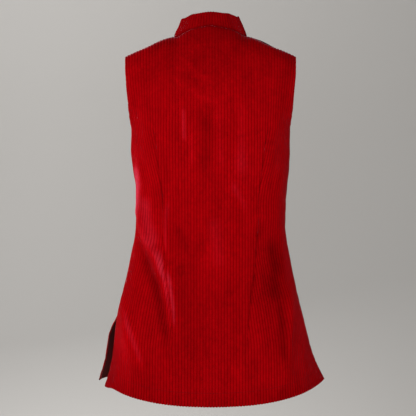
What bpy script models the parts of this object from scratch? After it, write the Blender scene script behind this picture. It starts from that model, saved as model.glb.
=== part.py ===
# A long sleeveless vest of wide-wale corduroy, in the hollow form it has when it is worn.
# Metres, +Z up. The wearer faces -Y and the wearer's left is +X. The origin lies midway
# between the shoulders, level with the inner end of the shoulder slope.

import math
from functools import lru_cache

import bmesh
import bpy
import numpy as np

# Cloth
wale_pitch = 0.00635
wale_height = 0.0011
cloth_wall = 0.0013
seam_gap = 0.0003
inner_spacing = 2 * wale_pitch
least_column = 0.0008
curve_samples = 81

# Upper edge of the panels
ring_height = -0.193
neck_half = 0.078
tip_half = 0.1816
column_spread = 0.981
roll_power = 0.8
spread_power = 2.5
fold_fade = 4
side_handle = 0.60
middle_handle = 0.60

# Edges of the slits, which stand out sideways over a reach below the slit top
edge_stand = 0.10
edge_stand_reach = 0.09

# Hem, front closure and collar
hem_height = -0.737
slit_top = -0.600
hem_curve = 1.6
hem_flatness = 2.4
corner_start = 0.80
front_lap = 0.014
lap_step = 0.0036
lap_blend = 0.030
collar_lean = math.radians(23.5)
collar_lift = 0.0006
collar_end = 0.004
collar_round = 0.006
collar_round_start = 0.5
collar_bend = 0.25
collar_shares = (1.0, 0.85, 0.35, 0.0)

# Buttons
button_count = 8
button_radius = 0.009
button_thick = 0.0042
button_top = -0.088
button_spacing = 0.065
button_sides = 12
# From the middle of the top out over the rim and under, as shares of radius and thickness.
button_profile = (
    (0.00, 1.00),
    (0.80, 1.00),
    (1.00, 0.60),
    (0.86, 0.00),
    (0.00, 0.00),
)

BACK, FRONT = 1, -1
LEFT, RIGHT = 1, -1
neck_place = neck_half / column_spread

# Level sections of the body, from the underarm to the hem. Widths and depths are measured
# from the middle of the body, and dart places run along the cloth from the centre back.
body_columns = ("height", "left", "right", "back", "front", "dart_place", "dart_intake")
body_rows = (
    (-0.193, 0.1687, 0.1687, 0.110, 0.108, 0.122, 0.000),
    (-0.240, 0.1687, 0.1687, 0.110, 0.121, 0.116, 0.010),
    (-0.283, 0.1650, 0.1680, 0.105, 0.123, 0.110, 0.022),
    (-0.318, 0.1600, 0.1638, 0.098, 0.117, 0.106, 0.031),
    (-0.352, 0.1590, 0.1616, 0.091, 0.110, 0.103, 0.035),
    (-0.404, 0.1595, 0.1605, 0.089, 0.107, 0.103, 0.035),
    (-0.455, 0.1680, 0.1672, 0.098, 0.111, 0.098, 0.031),
    (-0.500, 0.1780, 0.1762, 0.106, 0.116, 0.093, 0.023),
    (-0.550, 0.1900, 0.1870, 0.113, 0.122, 0.085, 0.013),
    (-0.600, 0.2020, 0.2000, 0.120, 0.128, 0.080, 0.005),
    (-0.645, 0.2075, 0.2116, 0.127, 0.134, 0.077, 0.000),
    (-0.692, 0.2160, 0.2262, 0.134, 0.139, 0.077, 0.000),
    (-0.737, 0.2305, 0.2480, 0.141, 0.144, 0.077, 0.000),
)
front_dart_place = 0.088
front_dart_share = 0.7

# Below the slit top the edges part: how far the front edge stands out past the back edge,
# and how far each edge moves away from the side seam, towards its own face.
slit_columns = ("height", "left_flare", "left_part", "right_flare", "right_part")
slit_rows = (
    (-0.600, 0.000, 0.000, 0.000, 0.000),
    (-0.645, 0.0155, 0.008, -0.001, 0.003),
    (-0.692, 0.0155, 0.013, -0.002, 0.005),
    (-0.737, 0.0145, 0.015, -0.003, 0.006),
)

# Where each panel ends at its armhole, by the share of the way up from underarm to shoulder.
armhole_columns = ("share", "back", "front")
armhole_rows = (
    (0.03, 0.212, 0.203),
    (0.08, 0.203, 0.190),
    (0.16, 0.196, 0.179),
    (0.25, 0.191, 0.173),
    (0.48, 0.187, 0.168),
    (0.70, 0.185, 0.171),
    (0.88, 0.185, 0.179),
    (1.00, 0.185, 0.185),
)

# The ridge that the columns of cloth rise to, from the middle out past the shoulder tip.
# Between the side neck points the neck oval cuts the columns off before they reach it.
ridge_columns = ("reach", "back", "front")
ridge_rows = (
    (-0.041, 0.0280, -0.0140),
    (0.000, 0.0435, -0.0250),
    (0.041, 0.0280, -0.0140),
    (0.060, 0.0125, -0.0040),
    (0.070, 0.0035, 0.0035),
    (0.078, 0.0003, 0.0003),
    (0.091, -0.0024, -0.0024),
    (0.136, -0.0219, -0.0219),
    (0.1816, -0.0420, -0.0420),
    (0.205, -0.0540, -0.0540),
)
# How tall the collar stands, by the place along it from the centre back to the left front.
collar_columns = ("place", "height")
collar_height_rows = (
    (-0.240, 0.0315),
    (-0.180, 0.0380),
    (-0.112, 0.0475),
    (-0.060, 0.0400),
    (0.000, 0.0315),
    (0.060, 0.0360),
    (0.112, 0.0420),
    (0.180, 0.0350),
    (0.240, 0.0315),
)
# How far the hem hangs below its level section at the side edges and at the middle, and how
# much more the cut drops each side corner.
side_hem_drop = {
    (BACK, LEFT): 0.004,
    (BACK, RIGHT): 0.001,
    (FRONT, LEFT): 0.008,
    (FRONT, RIGHT): 0.008,
}
corner_drop = {
    (BACK, LEFT): 0.011,
    (BACK, RIGHT): 0.000,
    (FRONT, LEFT): 0.000,
    (FRONT, RIGHT): 0.000,
}
middle_hem_drop = {BACK: 0.0295, FRONT: 0.014}
neck_depth = {BACK: 0.060, FRONT: 0.079}
arm_fullness = {BACK: 0.030, FRONT: 0.024}
corner_angles = (62, 67, 72, 77, 82, 90)

# Soft ridges (raised) and troughs (negative) that the hanging cloth takes, as straight runs
# on each face. Places run along the cloth from the centre towards the wearer's left.
fold_columns = ("face", "start", "start_height", "end", "end_height", "breadth", "raised")
fold_rows = (
    (BACK, 0.172, -0.370, 0.103, -0.490, 0.016, 0.0050),
    (BACK, 0.103, -0.490, 0.078, -0.650, 0.014, 0.0050),
    (BACK, 0.150, -0.470, 0.120, -0.620, 0.022, -0.0060),
    (BACK, 0.215, -0.560, 0.160, -0.700, 0.018, 0.0050),
    (BACK, 0.010, -0.140, 0.008, -0.300, 0.012, -0.0030),
    (BACK, 0.052, -0.130, 0.052, -0.220, 0.014, 0.0020),
    (BACK, -0.020, -0.430, -0.015, -0.500, 0.028, 0.0035),
    (BACK, -0.120, -0.450, -0.128, -0.620, 0.024, -0.0055),
    (BACK, -0.185, -0.550, -0.165, -0.700, 0.020, 0.0045),
    (FRONT, 0.165, -0.380, 0.110, -0.500, 0.017, 0.0045),
    (FRONT, 0.110, -0.500, 0.098, -0.680, 0.016, 0.0045),
    (FRONT, 0.062, -0.480, 0.052, -0.700, 0.024, -0.0045),
    (FRONT, -0.150, -0.400, -0.112, -0.520, 0.018, 0.0040),
    (FRONT, -0.112, -0.520, -0.104, -0.700, 0.018, 0.0050),
    (FRONT, -0.168, -0.520, -0.155, -0.700, 0.022, -0.0050),
)

cloth_colour = (0.28, 0.004, 0.006, 1.0)
button_colour = (0.06, 0.004, 0.005, 1.0)

# Mesh rows: shares of the way up to the shoulder, then depths below the underarm.
upper_shares = (1.00, 0.88, 0.70, 0.48, 0.25, 0.08)
lower_heights = (-0.193, -0.250, -0.300, -0.352, -0.404, -0.462, -0.526, -0.600, -0.668, -0.737)
mesh_levels = upper_shares + tuple(height - ring_height for height in lower_heights)


def smooth_curve(places, values):
    """A smooth curve through rising places that never swings past its own values."""
    places = np.array(places)
    values = np.array(values)
    steps = np.diff(places)
    slopes = np.diff(values) / steps
    before = slopes[:-1]
    after = slopes[1:]
    same_way = before * after > 0
    total = np.where(same_way, before + after, 1.0)
    inner = np.where(same_way, 2 * before * after / total, 0.0)
    tangents = np.concatenate(([slopes[0]], inner, [slopes[-1]]))

    def value(place):
        place = min(max(place, places[0]), places[-1])
        index = min(max(int(np.searchsorted(places, place)) - 1, 0), len(steps) - 1)
        share = (place - places[index]) / steps[index]
        rise = share * share * (3 - 2 * share)
        lead = share * (1 - share) ** 2 * tangents[index]
        trail = share * share * (share - 1) * tangents[index + 1]
        level = values[index] * (1 - rise) + values[index + 1] * rise
        return float(level + (lead + trail) * steps[index])

    return value


def column_curves(columns, rows):
    """One smooth curve for each named column, over the first column."""
    ordered = sorted(rows)
    places = [row[0] for row in ordered]
    return {
        name: smooth_curve(places, [row[index] for row in ordered])
        for index, name in enumerate(columns)
    }


body = column_curves(body_columns, body_rows)
slit = column_curves(slit_columns, slit_rows)
ridge = column_curves(ridge_columns, ridge_rows)
collar = column_curves(collar_columns, collar_height_rows)


def eased(share):
    share = min(max(share, 0.0), 1.0)
    return share * share * (3 - 2 * share)


def side_point(face, side, height):
    """The end of a level section, at the side seam or on one edge of its slit."""
    name = "left" if side == LEFT else "right"
    width = body[name](height)
    part = slit[name + "_part"](height) if height < slit_top else 0.0
    if face == FRONT and height < slit_top:
        width += slit[name + "_flare"](height)
    return width, face * part


@lru_cache(maxsize=None)
def quarter(face, side, height):
    """A quarter of a level section as x, y and running length, from centre to side."""
    width, edge = side_point(face, side, height)
    centre = face * body["back" if face == BACK else "front"](height)
    share = np.linspace(0, 1, curve_samples)
    rest = 1 - share
    weights = np.array((rest ** 3, 3 * rest ** 2 * share, 3 * rest * share ** 2, share ** 3))
    stands = 1 - edge_stand * eased((slit_top - height) / edge_stand_reach)
    handles_x = (0, middle_handle * width, width * stands, width)
    handles_y = (centre, centre, edge + side_handle * (centre - edge), edge)
    x = np.dot(handles_x, weights)
    y = np.dot(handles_y, weights)
    length = np.concatenate(([0], np.cumsum(np.hypot(np.diff(x), np.diff(y)))))
    return x, y, length


def half_length(face, side, height):
    return float(quarter(face, side, height)[2][-1])


def dart(face, height):
    """Where the dart seam lies along the cloth, and how much cloth it takes in."""
    place = body["dart_place"](height)
    intake = body["dart_intake"](height)
    if face == BACK:
        return place, intake
    return front_dart_place, intake * front_dart_share


def fold_height(face, place, height):
    """How far the folds raise or lower the cloth at one spot."""
    total = 0.0
    for row in fold_rows:
        fold = dict(zip(fold_columns, row))
        if fold["face"] != face:
            continue
        run = (fold["end"] - fold["start"], fold["end_height"] - fold["start_height"])
        gap = (place - fold["start"], height - fold["start_height"])
        share = (gap[0] * run[0] + gap[1] * run[1]) / (run[0] ** 2 + run[1] ** 2)
        share = min(max(share, 0.0), 1.0)
        distance = math.hypot(gap[0] - share * run[0], gap[1] - share * run[1])
        total += fold["raised"] * math.exp(-((distance / fold["breadth"]) ** 2))
    return total


def lap_inset(face, place, side):
    """The left front passes under the right one, so it lies deeper near the centre."""
    if face == BACK or side == RIGHT:
        return 0.0
    return -lap_step * (1 - eased((place - front_lap) / lap_blend))


def level_spot(face, place, height):
    """x, y and the outward direction on a level section, before the folds."""
    side = LEFT if place >= 0 else RIGHT
    x, y, length = quarter(face, side, round(height, 6))
    reach = min(abs(place), length[-1])
    index = min(max(int(np.searchsorted(length, reach)) - 1, 0), len(length) - 2)
    share = (reach - length[index]) / (length[index + 1] - length[index])
    run = (x[index + 1] - x[index], y[index + 1] - y[index])
    size = math.hypot(*run)
    out = (-run[1] * face / size * side, run[0] * face / size)
    spot_x = side * (x[index] + share * run[0])
    spot_y = y[index] + share * run[1]
    past = abs(place) - reach
    return spot_x, spot_y - face * past, out


def upper_spot(face, place, share):
    """A spot above the underarm, on a column of cloth that rolls up and over to the ridge."""
    ring_x, ring_y, out = level_spot(face, place, ring_height)
    reach = abs(place) * column_spread
    top_x = math.copysign(reach, place)
    top_z = ridge["back" if face == BACK else "front"](reach)
    top_y = face * seam_gap / 2
    turned = share * math.pi / 2
    fall = max(math.cos(turned), 0.0) ** roll_power
    climb = math.sin(turned) ** roll_power
    spread = 1 - (1 - share) ** spread_power
    x = ring_x + (top_x - ring_x) * spread
    fullness = face * arm_fullness[face] * (reach / tip_half) ** 2 * spread
    y = top_y + (ring_y + fullness - top_y) * fall
    z = ring_height + (top_z - ring_height) * climb
    return x, y, z, out


@lru_cache(maxsize=None)
def top_share(face, place):
    """How far up its column a place meets the neck oval, or the shoulder seam."""
    if abs(place) * column_spread >= neck_half:
        return 1.0
    low = 0.1
    high = 1.0
    for _ in range(40):
        middle = (low + high) / 2
        x, y, _, _ = upper_spot(face, place, middle)
        if (x / neck_half) ** 2 + (y / neck_depth[face]) ** 2 > 1:
            low = middle
        else:
            high = middle
    return low


def mesh_share(face, place, level):
    """A mesh row's level at one place: the upper rows crowd under the neck seam."""
    return level * top_share(face, place) if level > 0 else level


def spot(face, place, level, side):
    """A point of a panel's base surface. Positive levels are shares above the underarm,
    and the others are depths below it."""
    if level > 0:
        x, y, z, out = upper_spot(face, place, level)
        strength = 1 - level ** fold_fade
    else:
        height = ring_height + level
        x, y, out = level_spot(face, place, height)
        edge = LEFT if place >= 0 else RIGHT
        reach = min(abs(place) / half_length(face, edge, round(height, 6)), 1.0)
        share = eased((slit_top - height) / (slit_top - hem_height))
        middleness = (1 - reach ** hem_flatness) ** hem_curve
        extra = middle_hem_drop[face] - side_hem_drop[face, edge]
        corner = corner_drop[face, edge] * eased((reach - corner_start) / (1 - corner_start))
        z = height - (side_hem_drop[face, edge] + extra * middleness + corner) * share
        strength = 1.0
    raised = fold_height(face, place, z) * strength + lap_inset(face, place, side)
    return np.array((x + out[0] * raised, y + out[1] * raised, z))


def outward(face, place, level, side):
    """The direction out of the cloth at a spot."""
    step = 0.0015
    share_step = 0.012
    up = min(level + (share_step if level >= 0 else step), 1.0)
    down = level - (share_step if level > share_step else step)
    across = spot(face, place + step, level, side) - spot(face, place - step, level, side)
    along = spot(face, place, up, side) - spot(face, place, down, side)
    normal = np.cross(across, along) * face
    return -normal / np.linalg.norm(normal)


def armhole_curve(face):
    ordered = [(0.0, half_length(face, LEFT, ring_height))]
    column = armhole_columns.index("back" if face == BACK else "front")
    ordered += [(row[0], row[column]) for row in armhole_rows]
    return smooth_curve([row[0] for row in ordered], [row[1] for row in ordered])


armhole = {BACK: armhole_curve(BACK), FRONT: armhole_curve(FRONT)}


def edge_place(face, side, level):
    """How far from the centre a panel reaches on one side, along the cloth."""
    if level > 0:
        return armhole[face](level) - seam_gap / 2
    return half_length(face, side, round(ring_height + level, 6)) - seam_gap / 2


def laid_place(face, pattern, level, first, last, spacing):
    """Where a column of the flat cloth lies once the dart is sewn, and whether it is cut."""
    place = abs(pattern)
    cut = False
    if level < 1 and place < neck_place + wale_pitch:
        place = round(place / spacing) * spacing
    if level <= 0:
        dart_place, intake = dart(face, ring_height + level)
        if intake > 0 and place > dart_place - least_column:
            cut = place < dart_place + intake + least_column
            place = dart_place if cut else place - intake
    place = math.copysign(place, pattern)
    if place < first + least_column:
        return first, True
    if place > last - least_column:
        return last, True
    return place, cut


class Panel:
    """Collects the points and faces of one closed wall."""

    def __init__(self):
        self.points = []
        self.faces = []

    def add_point(self, point):
        self.points.append(tuple(float(value) for value in point))
        return len(self.points) - 1

    def add_face(self, corners):
        kept = []
        for corner in corners:
            if corner not in kept:
                kept.append(corner)
        if len(kept) > 2:
            self.faces.append(kept)

    def add_sheet(self, rows):
        for upper, lower in zip(rows[:-1], rows[1:]):
            for index in range(len(upper) - 1):
                corners = (upper[index], upper[index + 1], lower[index + 1], lower[index])
                self.add_face(corners)

    def add_rim(self, outer, inner):
        """Joins two rows of (place, point) pairs that differ in number."""
        near = 0
        far = 0
        while near < len(outer) - 1 or far < len(inner) - 1:
            outer_next = outer[near + 1][0] if near < len(outer) - 1 else math.inf
            inner_next = inner[far + 1][0] if far < len(inner) - 1 else math.inf
            if outer_next <= inner_next:
                self.add_face((outer[near][1], outer[near + 1][1], inner[far][1]))
                near += 1
            else:
                self.add_face((outer[near][1], inner[far + 1][1], inner[far][1]))
                far += 1

    def close_wall(self, outer, inner):
        """Two sheets of (place, point) rows and the rims that join them all round."""
        self.add_sheet([[point for _, point in row] for row in outer])
        self.add_sheet([[point for _, point in reversed(row)] for row in inner])
        for end in (0, -1):
            self.add_rim(distinct(outer[end]), distinct(inner[end]))
            outer_edge = [row[end][1] for row in outer]
            inner_edge = [row[end][1] for row in inner]
            self.add_sheet([outer_edge, inner_edge])

    def finish(self, name, material, collection):
        mesh = bpy.data.meshes.new(name)
        mesh.from_pydata(self.points, [], self.faces)
        shape = bmesh.new()
        shape.from_mesh(mesh)
        bmesh.ops.recalc_face_normals(shape, faces=shape.faces)
        if shape.calc_volume(signed=True) < 0:
            bmesh.ops.reverse_faces(shape, faces=shape.faces)
        shape.to_mesh(mesh)
        shape.free()
        mesh.materials.append(material)
        panel = bpy.data.objects.new(name, mesh)
        collection.objects.link(panel)
        return panel


def corner_places():
    """More columns for a top row alone, where the neck oval turns along the wales."""
    return [round(neck_place * math.sin(math.radians(angle)), 6) for angle in corner_angles]


def both_ways(places):
    return sorted(set(places) | {-place for place in places})


def wale_columns(lowest, highest):
    """Places of the grooves and ridges of the flat cloth, each with its height."""
    first = math.floor(2 * lowest / wale_pitch)
    last = math.ceil(2 * highest / wale_pitch)
    return [
        (step * wale_pitch / 2, wale_height if step % 2 == 0 else 0.0)
        for step in range(first, last + 1)
    ]


def outer_columns(lowest, highest):
    corners = [(place, 0.0) for place in both_ways(corner_places()) if lowest < place < highest]
    return sorted(wale_columns(lowest, highest) + corners)


def inner_columns(lowest, highest):
    """Wide columns, and close ones that only a top row keeps, to follow the neck seam."""
    first = math.floor(lowest / inner_spacing)
    last = math.ceil(highest / inner_spacing)
    places = {step * inner_spacing for step in range(first, last + 1)}
    close = [place for place, _ in outer_columns(-neck_place, neck_place)]
    places |= {place for place in close if lowest < place < highest}
    return [(place, -cloth_wall) for place in sorted(places)]


def lay_rows(panel, columns, face, side, ends, spacing):
    """Rows of points over all levels. Columns that an edge or a dart cuts share a point."""
    rows = []
    for level in mesh_levels:
        first, last = ends(level)
        seen = {}
        row = []
        for pattern, raised in columns:
            place, cut = laid_place(face, pattern, level, first, last, spacing)
            key = round(place, 6)
            if key not in seen:
                share = mesh_share(face, key, level)
                offset = min(raised, 0.0) if cut else raised
                normal = outward(face, place, share, side)
                point = spot(face, place, share, side) + normal * offset
                seen[key] = (place, panel.add_point(point))
            row.append(seen[key])
        rows.append(row)
    return rows


def distinct(row):
    kept = []
    for pair in row:
        if not kept or kept[-1][1] != pair[1]:
            kept.append(pair)
    return kept


def build_panel(name, face, side, ends, reach, material, collection):
    """One closed wall: wales on the outer side, plain inside, rims all round."""
    panel = Panel()
    outer = lay_rows(panel, outer_columns(*reach), face, side, ends, wale_pitch / 2)
    inner = lay_rows(panel, inner_columns(*reach), face, side, ends, inner_spacing)
    panel.close_wall(outer, inner)
    return panel.finish(name, material, collection)


def build_back(material, collection):
    def ends(level):
        return -edge_place(BACK, RIGHT, level), edge_place(BACK, LEFT, level)

    widest = max(edge_place(BACK, side, mesh_levels[-1]) for side in (LEFT, RIGHT))
    return build_panel("back", BACK, LEFT, ends, (-widest, widest), material, collection)


def build_front(name, side, material, collection):
    def ends(level):
        if side == LEFT:
            return -front_lap, edge_place(FRONT, LEFT, level)
        return -edge_place(FRONT, RIGHT, level), front_lap

    widest = edge_place(FRONT, side, mesh_levels[-1])
    reach = (-front_lap, widest) if side == LEFT else (-widest, front_lap)
    return build_panel(name, FRONT, side, ends, reach, material, collection)


def neck_ring():
    """The neck seam as points and directions out of the cloth, with a running length, from
    the right front round the back to the left front."""
    wales = [place for place, _ in wale_columns(0.0, neck_place) if place <= neck_place]
    ahead = sorted(set(wales + corner_places()))
    stations = [(FRONT, -place, RIGHT) for place in ahead]
    stations += [(BACK, -place, RIGHT) for place in reversed(ahead)]
    stations += [(BACK, place, LEFT) for place in ahead[1:]]
    stations += [(FRONT, place, LEFT) for place in reversed(ahead)]
    points = []
    normals = []
    for face, place, side in stations:
        share = top_share(face, round(place, 6))
        points.append(spot(face, place, share, side))
        normals.append(outward(face, place, share, side))
    points = np.array(points)
    steps = np.linalg.norm(np.diff(points, axis=0), axis=1)
    length = np.concatenate(([0], np.cumsum(steps)))
    return points, np.array(normals), length - length[-1] / 2


def on_ring(place, length, values):
    return np.array([np.interp(place, length, values[:, axis]) for axis in range(3)])


def collar_spot(place, share, ring):
    """A point of the collar and the direction out of it. At its seam the collar's wall
    stands square to the panels, so that the two edges meet face to face."""
    points, normals, length = ring
    base = on_ring(place, length, points)
    depth = neck_depth[BACK if base[1] > 0 else FRONT]
    inward = -np.array((base[0] / neck_half ** 2, base[1] / depth ** 2, 0.0))
    inward /= np.linalg.norm(inward)
    rise = np.array((0.0, 0.0, 1.0))
    up = inward * math.sin(collar_lean) + rise * math.cos(collar_lean)
    out = rise * math.sin(collar_lean) - inward * math.cos(collar_lean)
    seam_share = max(1 - share / collar_bend, 0.0)
    normal = on_ring(place, length, normals) * seam_share + out * (1 - seam_share)
    normal /= np.linalg.norm(normal)
    return base + up * (collar_lift + collar["height"](place) * share), normal


def collar_rows(panel, columns, ring, spacing):
    rows = []
    for share in collar_shares:
        corner = max(share - collar_round_start, 0.0) / (1 - collar_round_start)
        last = ring[2][-1] - collar_end - collar_round * corner ** 2
        seen = {}
        row = []
        for pattern, raised in columns:
            laid = pattern if share == 0 else round(pattern / spacing) * spacing
            place = min(max(laid, -last), last)
            key = round(place, 7)
            if key not in seen:
                point, normal = collar_spot(place, share, ring)
                offset = raised if place == laid else min(raised, 0.0)
                seen[key] = (place, panel.add_point(point + normal * offset))
            row.append(seen[key])
        rows.append(row)
    return rows


def build_collar(material, collection):
    """A stand collar on the neck seam. It leans in, and its wales run up from the seam."""
    ring = neck_ring()
    end = ring[2][-1] - collar_end
    panel = Panel()
    wales = wale_columns(-end, end)
    plain = [(place, -cloth_wall) for place, _ in wales]
    outer = collar_rows(panel, wales, ring, wale_pitch / 2)
    inner = collar_rows(panel, plain, ring, inner_spacing)
    panel.close_wall(outer, inner)
    return panel.finish("collar", material, collection)


def button_seat(height):
    """The spot and the direction in which a button rests on the wales at the centre front."""
    rows = [spot(FRONT, 0.0, mesh_share(FRONT, 0.0, level), RIGHT) for level in mesh_levels]
    heights = [row[2] for row in reversed(rows)]
    depths = [row[1] for row in reversed(rows)]
    sweep = np.linspace(height - button_radius, height + button_radius, 13)
    line = np.interp(sweep, heights, depths)
    lean = (line[-1] - line[0]) / (2 * button_radius)
    normal = np.array((0.0, -1.0, lean)) / math.hypot(1.0, lean)
    middle = (line[0] + line[-1]) / 2
    proud = max(middle + lean * (sweep - height) - line) * -normal[1]
    return np.array((0.0, middle, height)) + normal * (proud + wale_height + seam_gap), normal


def build_button(name, height, material, collection):
    """A round button with a bevelled rim, lying on the wales at the centre front."""
    points = [(out * button_radius, 0.0, up * button_thick) for out, up in button_profile]
    edges = [(index, index + 1) for index in range(len(points) - 1)]
    mesh = bpy.data.meshes.new(name)
    mesh.from_pydata(points, edges, [])
    mesh.materials.append(material)
    button = bpy.data.objects.new(name, mesh)
    collection.objects.link(button)
    turn = button.modifiers.new("Turned", "SCREW")
    turn.axis = "Z"
    turn.angle = 2 * math.pi
    turn.steps = button_sides
    turn.render_steps = button_sides
    turn.use_merge_vertices = True
    turn.merge_threshold = 0.00005
    turn.use_smooth_shade = True
    seat, normal = button_seat(height)
    button.location = seat
    button.rotation_euler = (math.acos(normal[2]), 0.0, math.atan2(normal[0], -normal[1]))
    return button


def make_material(name, colour, roughness):
    material = bpy.data.materials.new(name)
    material.use_nodes = True
    shader = material.node_tree.nodes["Principled BSDF"]
    shader.inputs["Base Color"].default_value = colour
    shader.inputs["Roughness"].default_value = roughness
    shader.inputs["Metallic"].default_value = 0.0
    return material


def main():
    for item in list(bpy.data.objects):
        bpy.data.objects.remove(item, do_unlink=True)
    collection = bpy.data.collections.new("corduroy_vest")
    bpy.context.scene.collection.children.link(collection)
    cloth = {
        name: make_material(name + "_corduroy", cloth_colour, 0.9)
        for name in ("back", "front_left", "front_right", "collar")
    }
    build_back(cloth["back"], collection)
    build_front("front_left", LEFT, cloth["front_left"], collection)
    build_front("front_right", RIGHT, cloth["front_right"], collection)
    build_collar(cloth["collar"], collection)
    for index in range(button_count):
        name = f"button_{index + 1}"
        colour = make_material(name + "_plastic", button_colour, 0.35)
        build_button(name, button_top - index * button_spacing, colour, collection)


main()
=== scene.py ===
import math

import bmesh
import bpy
import numpy as np
from mathutils import Matrix


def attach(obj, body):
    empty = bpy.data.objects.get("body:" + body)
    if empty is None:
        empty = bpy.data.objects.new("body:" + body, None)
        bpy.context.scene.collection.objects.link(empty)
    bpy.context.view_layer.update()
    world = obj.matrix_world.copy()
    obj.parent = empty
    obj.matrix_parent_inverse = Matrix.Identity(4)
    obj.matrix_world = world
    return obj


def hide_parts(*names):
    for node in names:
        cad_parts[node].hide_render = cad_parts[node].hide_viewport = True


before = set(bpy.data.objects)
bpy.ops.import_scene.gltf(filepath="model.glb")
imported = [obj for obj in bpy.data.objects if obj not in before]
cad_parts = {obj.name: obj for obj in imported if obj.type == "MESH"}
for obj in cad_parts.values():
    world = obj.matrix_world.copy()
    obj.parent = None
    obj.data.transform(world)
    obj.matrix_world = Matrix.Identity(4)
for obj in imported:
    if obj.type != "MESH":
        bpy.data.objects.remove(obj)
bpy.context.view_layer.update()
bpy.ops.object.select_all(action="DESELECT")

back, front = 1, -1  # the two faces of the body, as signs of Y
left, right = 1, -1  # the wearer's sides, as signs of X

# Camera at the photograph's angle, pale floor that sweeps up far behind, soft light.
studio = {
    "cameraPlace": (0.0054, 2.6, -0.133),
    "cameraTilt": 5.1,
    "lens": 104.7,
    "floorHeight": -1.70,
    "sweepRadius": 1.6,
    "backWall": -4.2,
    "halfWidth": 7.0,
    "floorFront": 7.0,
    "wallTop": 5.0,
    "paper": (0.54, 0.525, 0.505),
    "world": (1.0, 0.98, 0.95),
    "worldStrength": 0.20,
    # lights: place, what it aims at, size, power
    "lights": {
        "key": ((0.15, 2.6, -0.30), (0.0, 0.0, -0.25), 1.0, 40.0),
        "side": ((2.0, -0.30, -0.05), (0.1, 0.0, -0.30), 0.8, 21.0),
        "front": ((0.6, -3.0, 0.6), (0.0, 0.0, -0.35), 1.6, 45.0),
        "wall": ((1.4, -1.0, 1.2), (0.1, -4.2, 0.6), 2.2, 78.0),
    },
}


class Signal:  # a shader socket that adds, multiplies and so on like a number
    def __init__(self, maker, socket):
        self.maker = maker
        self.socket = socket

    def __add__(self, other):
        return self.maker.maths("ADD", self, other)

    __radd__ = __add__

    def __sub__(self, other):
        return self.maker.maths("SUBTRACT", self, other)

    def __rsub__(self, other):
        return self.maker.maths("SUBTRACT", other, self)

    def __mul__(self, other):
        return self.maker.maths("MULTIPLY", self, other)

    __rmul__ = __mul__

    def __truediv__(self, other):
        return self.maker.maths("DIVIDE", self, other)


class MaterialMaker:
    def __init__(self, name):
        self.material = bpy.data.materials.new(name)
        self.material.use_nodes = True
        self.tree = self.material.node_tree
        self.surface = self.tree.nodes["Principled BSDF"]

    def node(self, kind, settings=None, inputs=None, output=0):
        made = self.tree.nodes.new(kind)
        for key, value in (settings or {}).items():
            setattr(made, key, value)
        for key, value in (inputs or {}).items():
            if isinstance(value, Signal):
                self.tree.links.new(value.socket, made.inputs[key])
            else:
                made.inputs[key].default_value = value
        return Signal(self, made.outputs[output])

    def maths(self, operation, *values):
        return self.node("ShaderNodeMath", {"operation": operation}, dict(enumerate(values)))

    def noise(self, place, scale, detail):
        return self.node("ShaderNodeTexNoise", {}, {"Vector": place, "Scale": scale, "Detail": detail})

    def spot(self, *parts):  # where a pattern is read
        return self.node("ShaderNodeCombineXYZ", {}, dict(enumerate(parts)))

    def part(self, vector, axis):
        return self.node("ShaderNodeSeparateXYZ", {}, {0: vector}, axis)

    def clothPlace(self):  # across and along the flat cloth
        flat = self.node("ShaderNodeUVMap", {"uv_map": "flatCloth"})
        return self.part(flat, 0), self.part(flat, 1)

    def objectPlace(self):
        return self.node("ShaderNodeTexCoord", {}, {}, 3)

    def attribute(self, name):
        return self.node("ShaderNodeAttribute", {"attribute_name": name}, {}, 2)

    def smooth(self, value, low, high):  # 0 below low, 1 above high, eased between
        return self.node(
            "ShaderNodeMapRange",
            {"interpolation_type": "SMOOTHSTEP"},
            {"Value": value, "From Min": low, "From Max": high},
        )

    def blend(self, factor, first, second, way="MIX"):  # two colours
        return self.node(
            "ShaderNodeMix",
            {"data_type": "RGBA", "blend_type": way},
            {0: factor, 6: first, 7: second},
            2,
        )

    def shaded(self, colour, tone):
        toneColour = self.node("ShaderNodeCombineColor", {}, {0: tone, 1: tone, 2: tone})
        return self.blend(1.0, colour, toneColour, "MULTIPLY")

    def bump(self, height, strength, distance):
        inputs = {"Strength": strength, "Distance": distance, "Height": height}
        return self.node("ShaderNodeBump", {}, inputs)

    def finish(self, **sockets):
        for name, value in sockets.items():
            socket = self.surface.inputs[name.replace("_", " ")]
            if isinstance(value, Signal):
                self.tree.links.new(value.socket, socket)
            else:
                socket.default_value = value
        return self.material


def aimed(item, place, target):
    item.location = place
    way = np.array(target) - np.array(place)
    flat = math.hypot(way[0], way[1])
    item.rotation_euler = (math.atan2(flat, -way[2]), 0.0, math.atan2(way[1], way[0]) - math.pi / 2)


def addLight(name, place, aim, size, power):
    lamp = bpy.data.lights.new(name, "AREA")
    lamp.shape = "DISK"
    lamp.size = size
    lamp.energy = power
    item = bpy.data.objects.new(name, lamp)
    item.visible_camera = False
    bpy.context.scene.collection.objects.link(item)
    aimed(item, place, aim)
    return item


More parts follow.
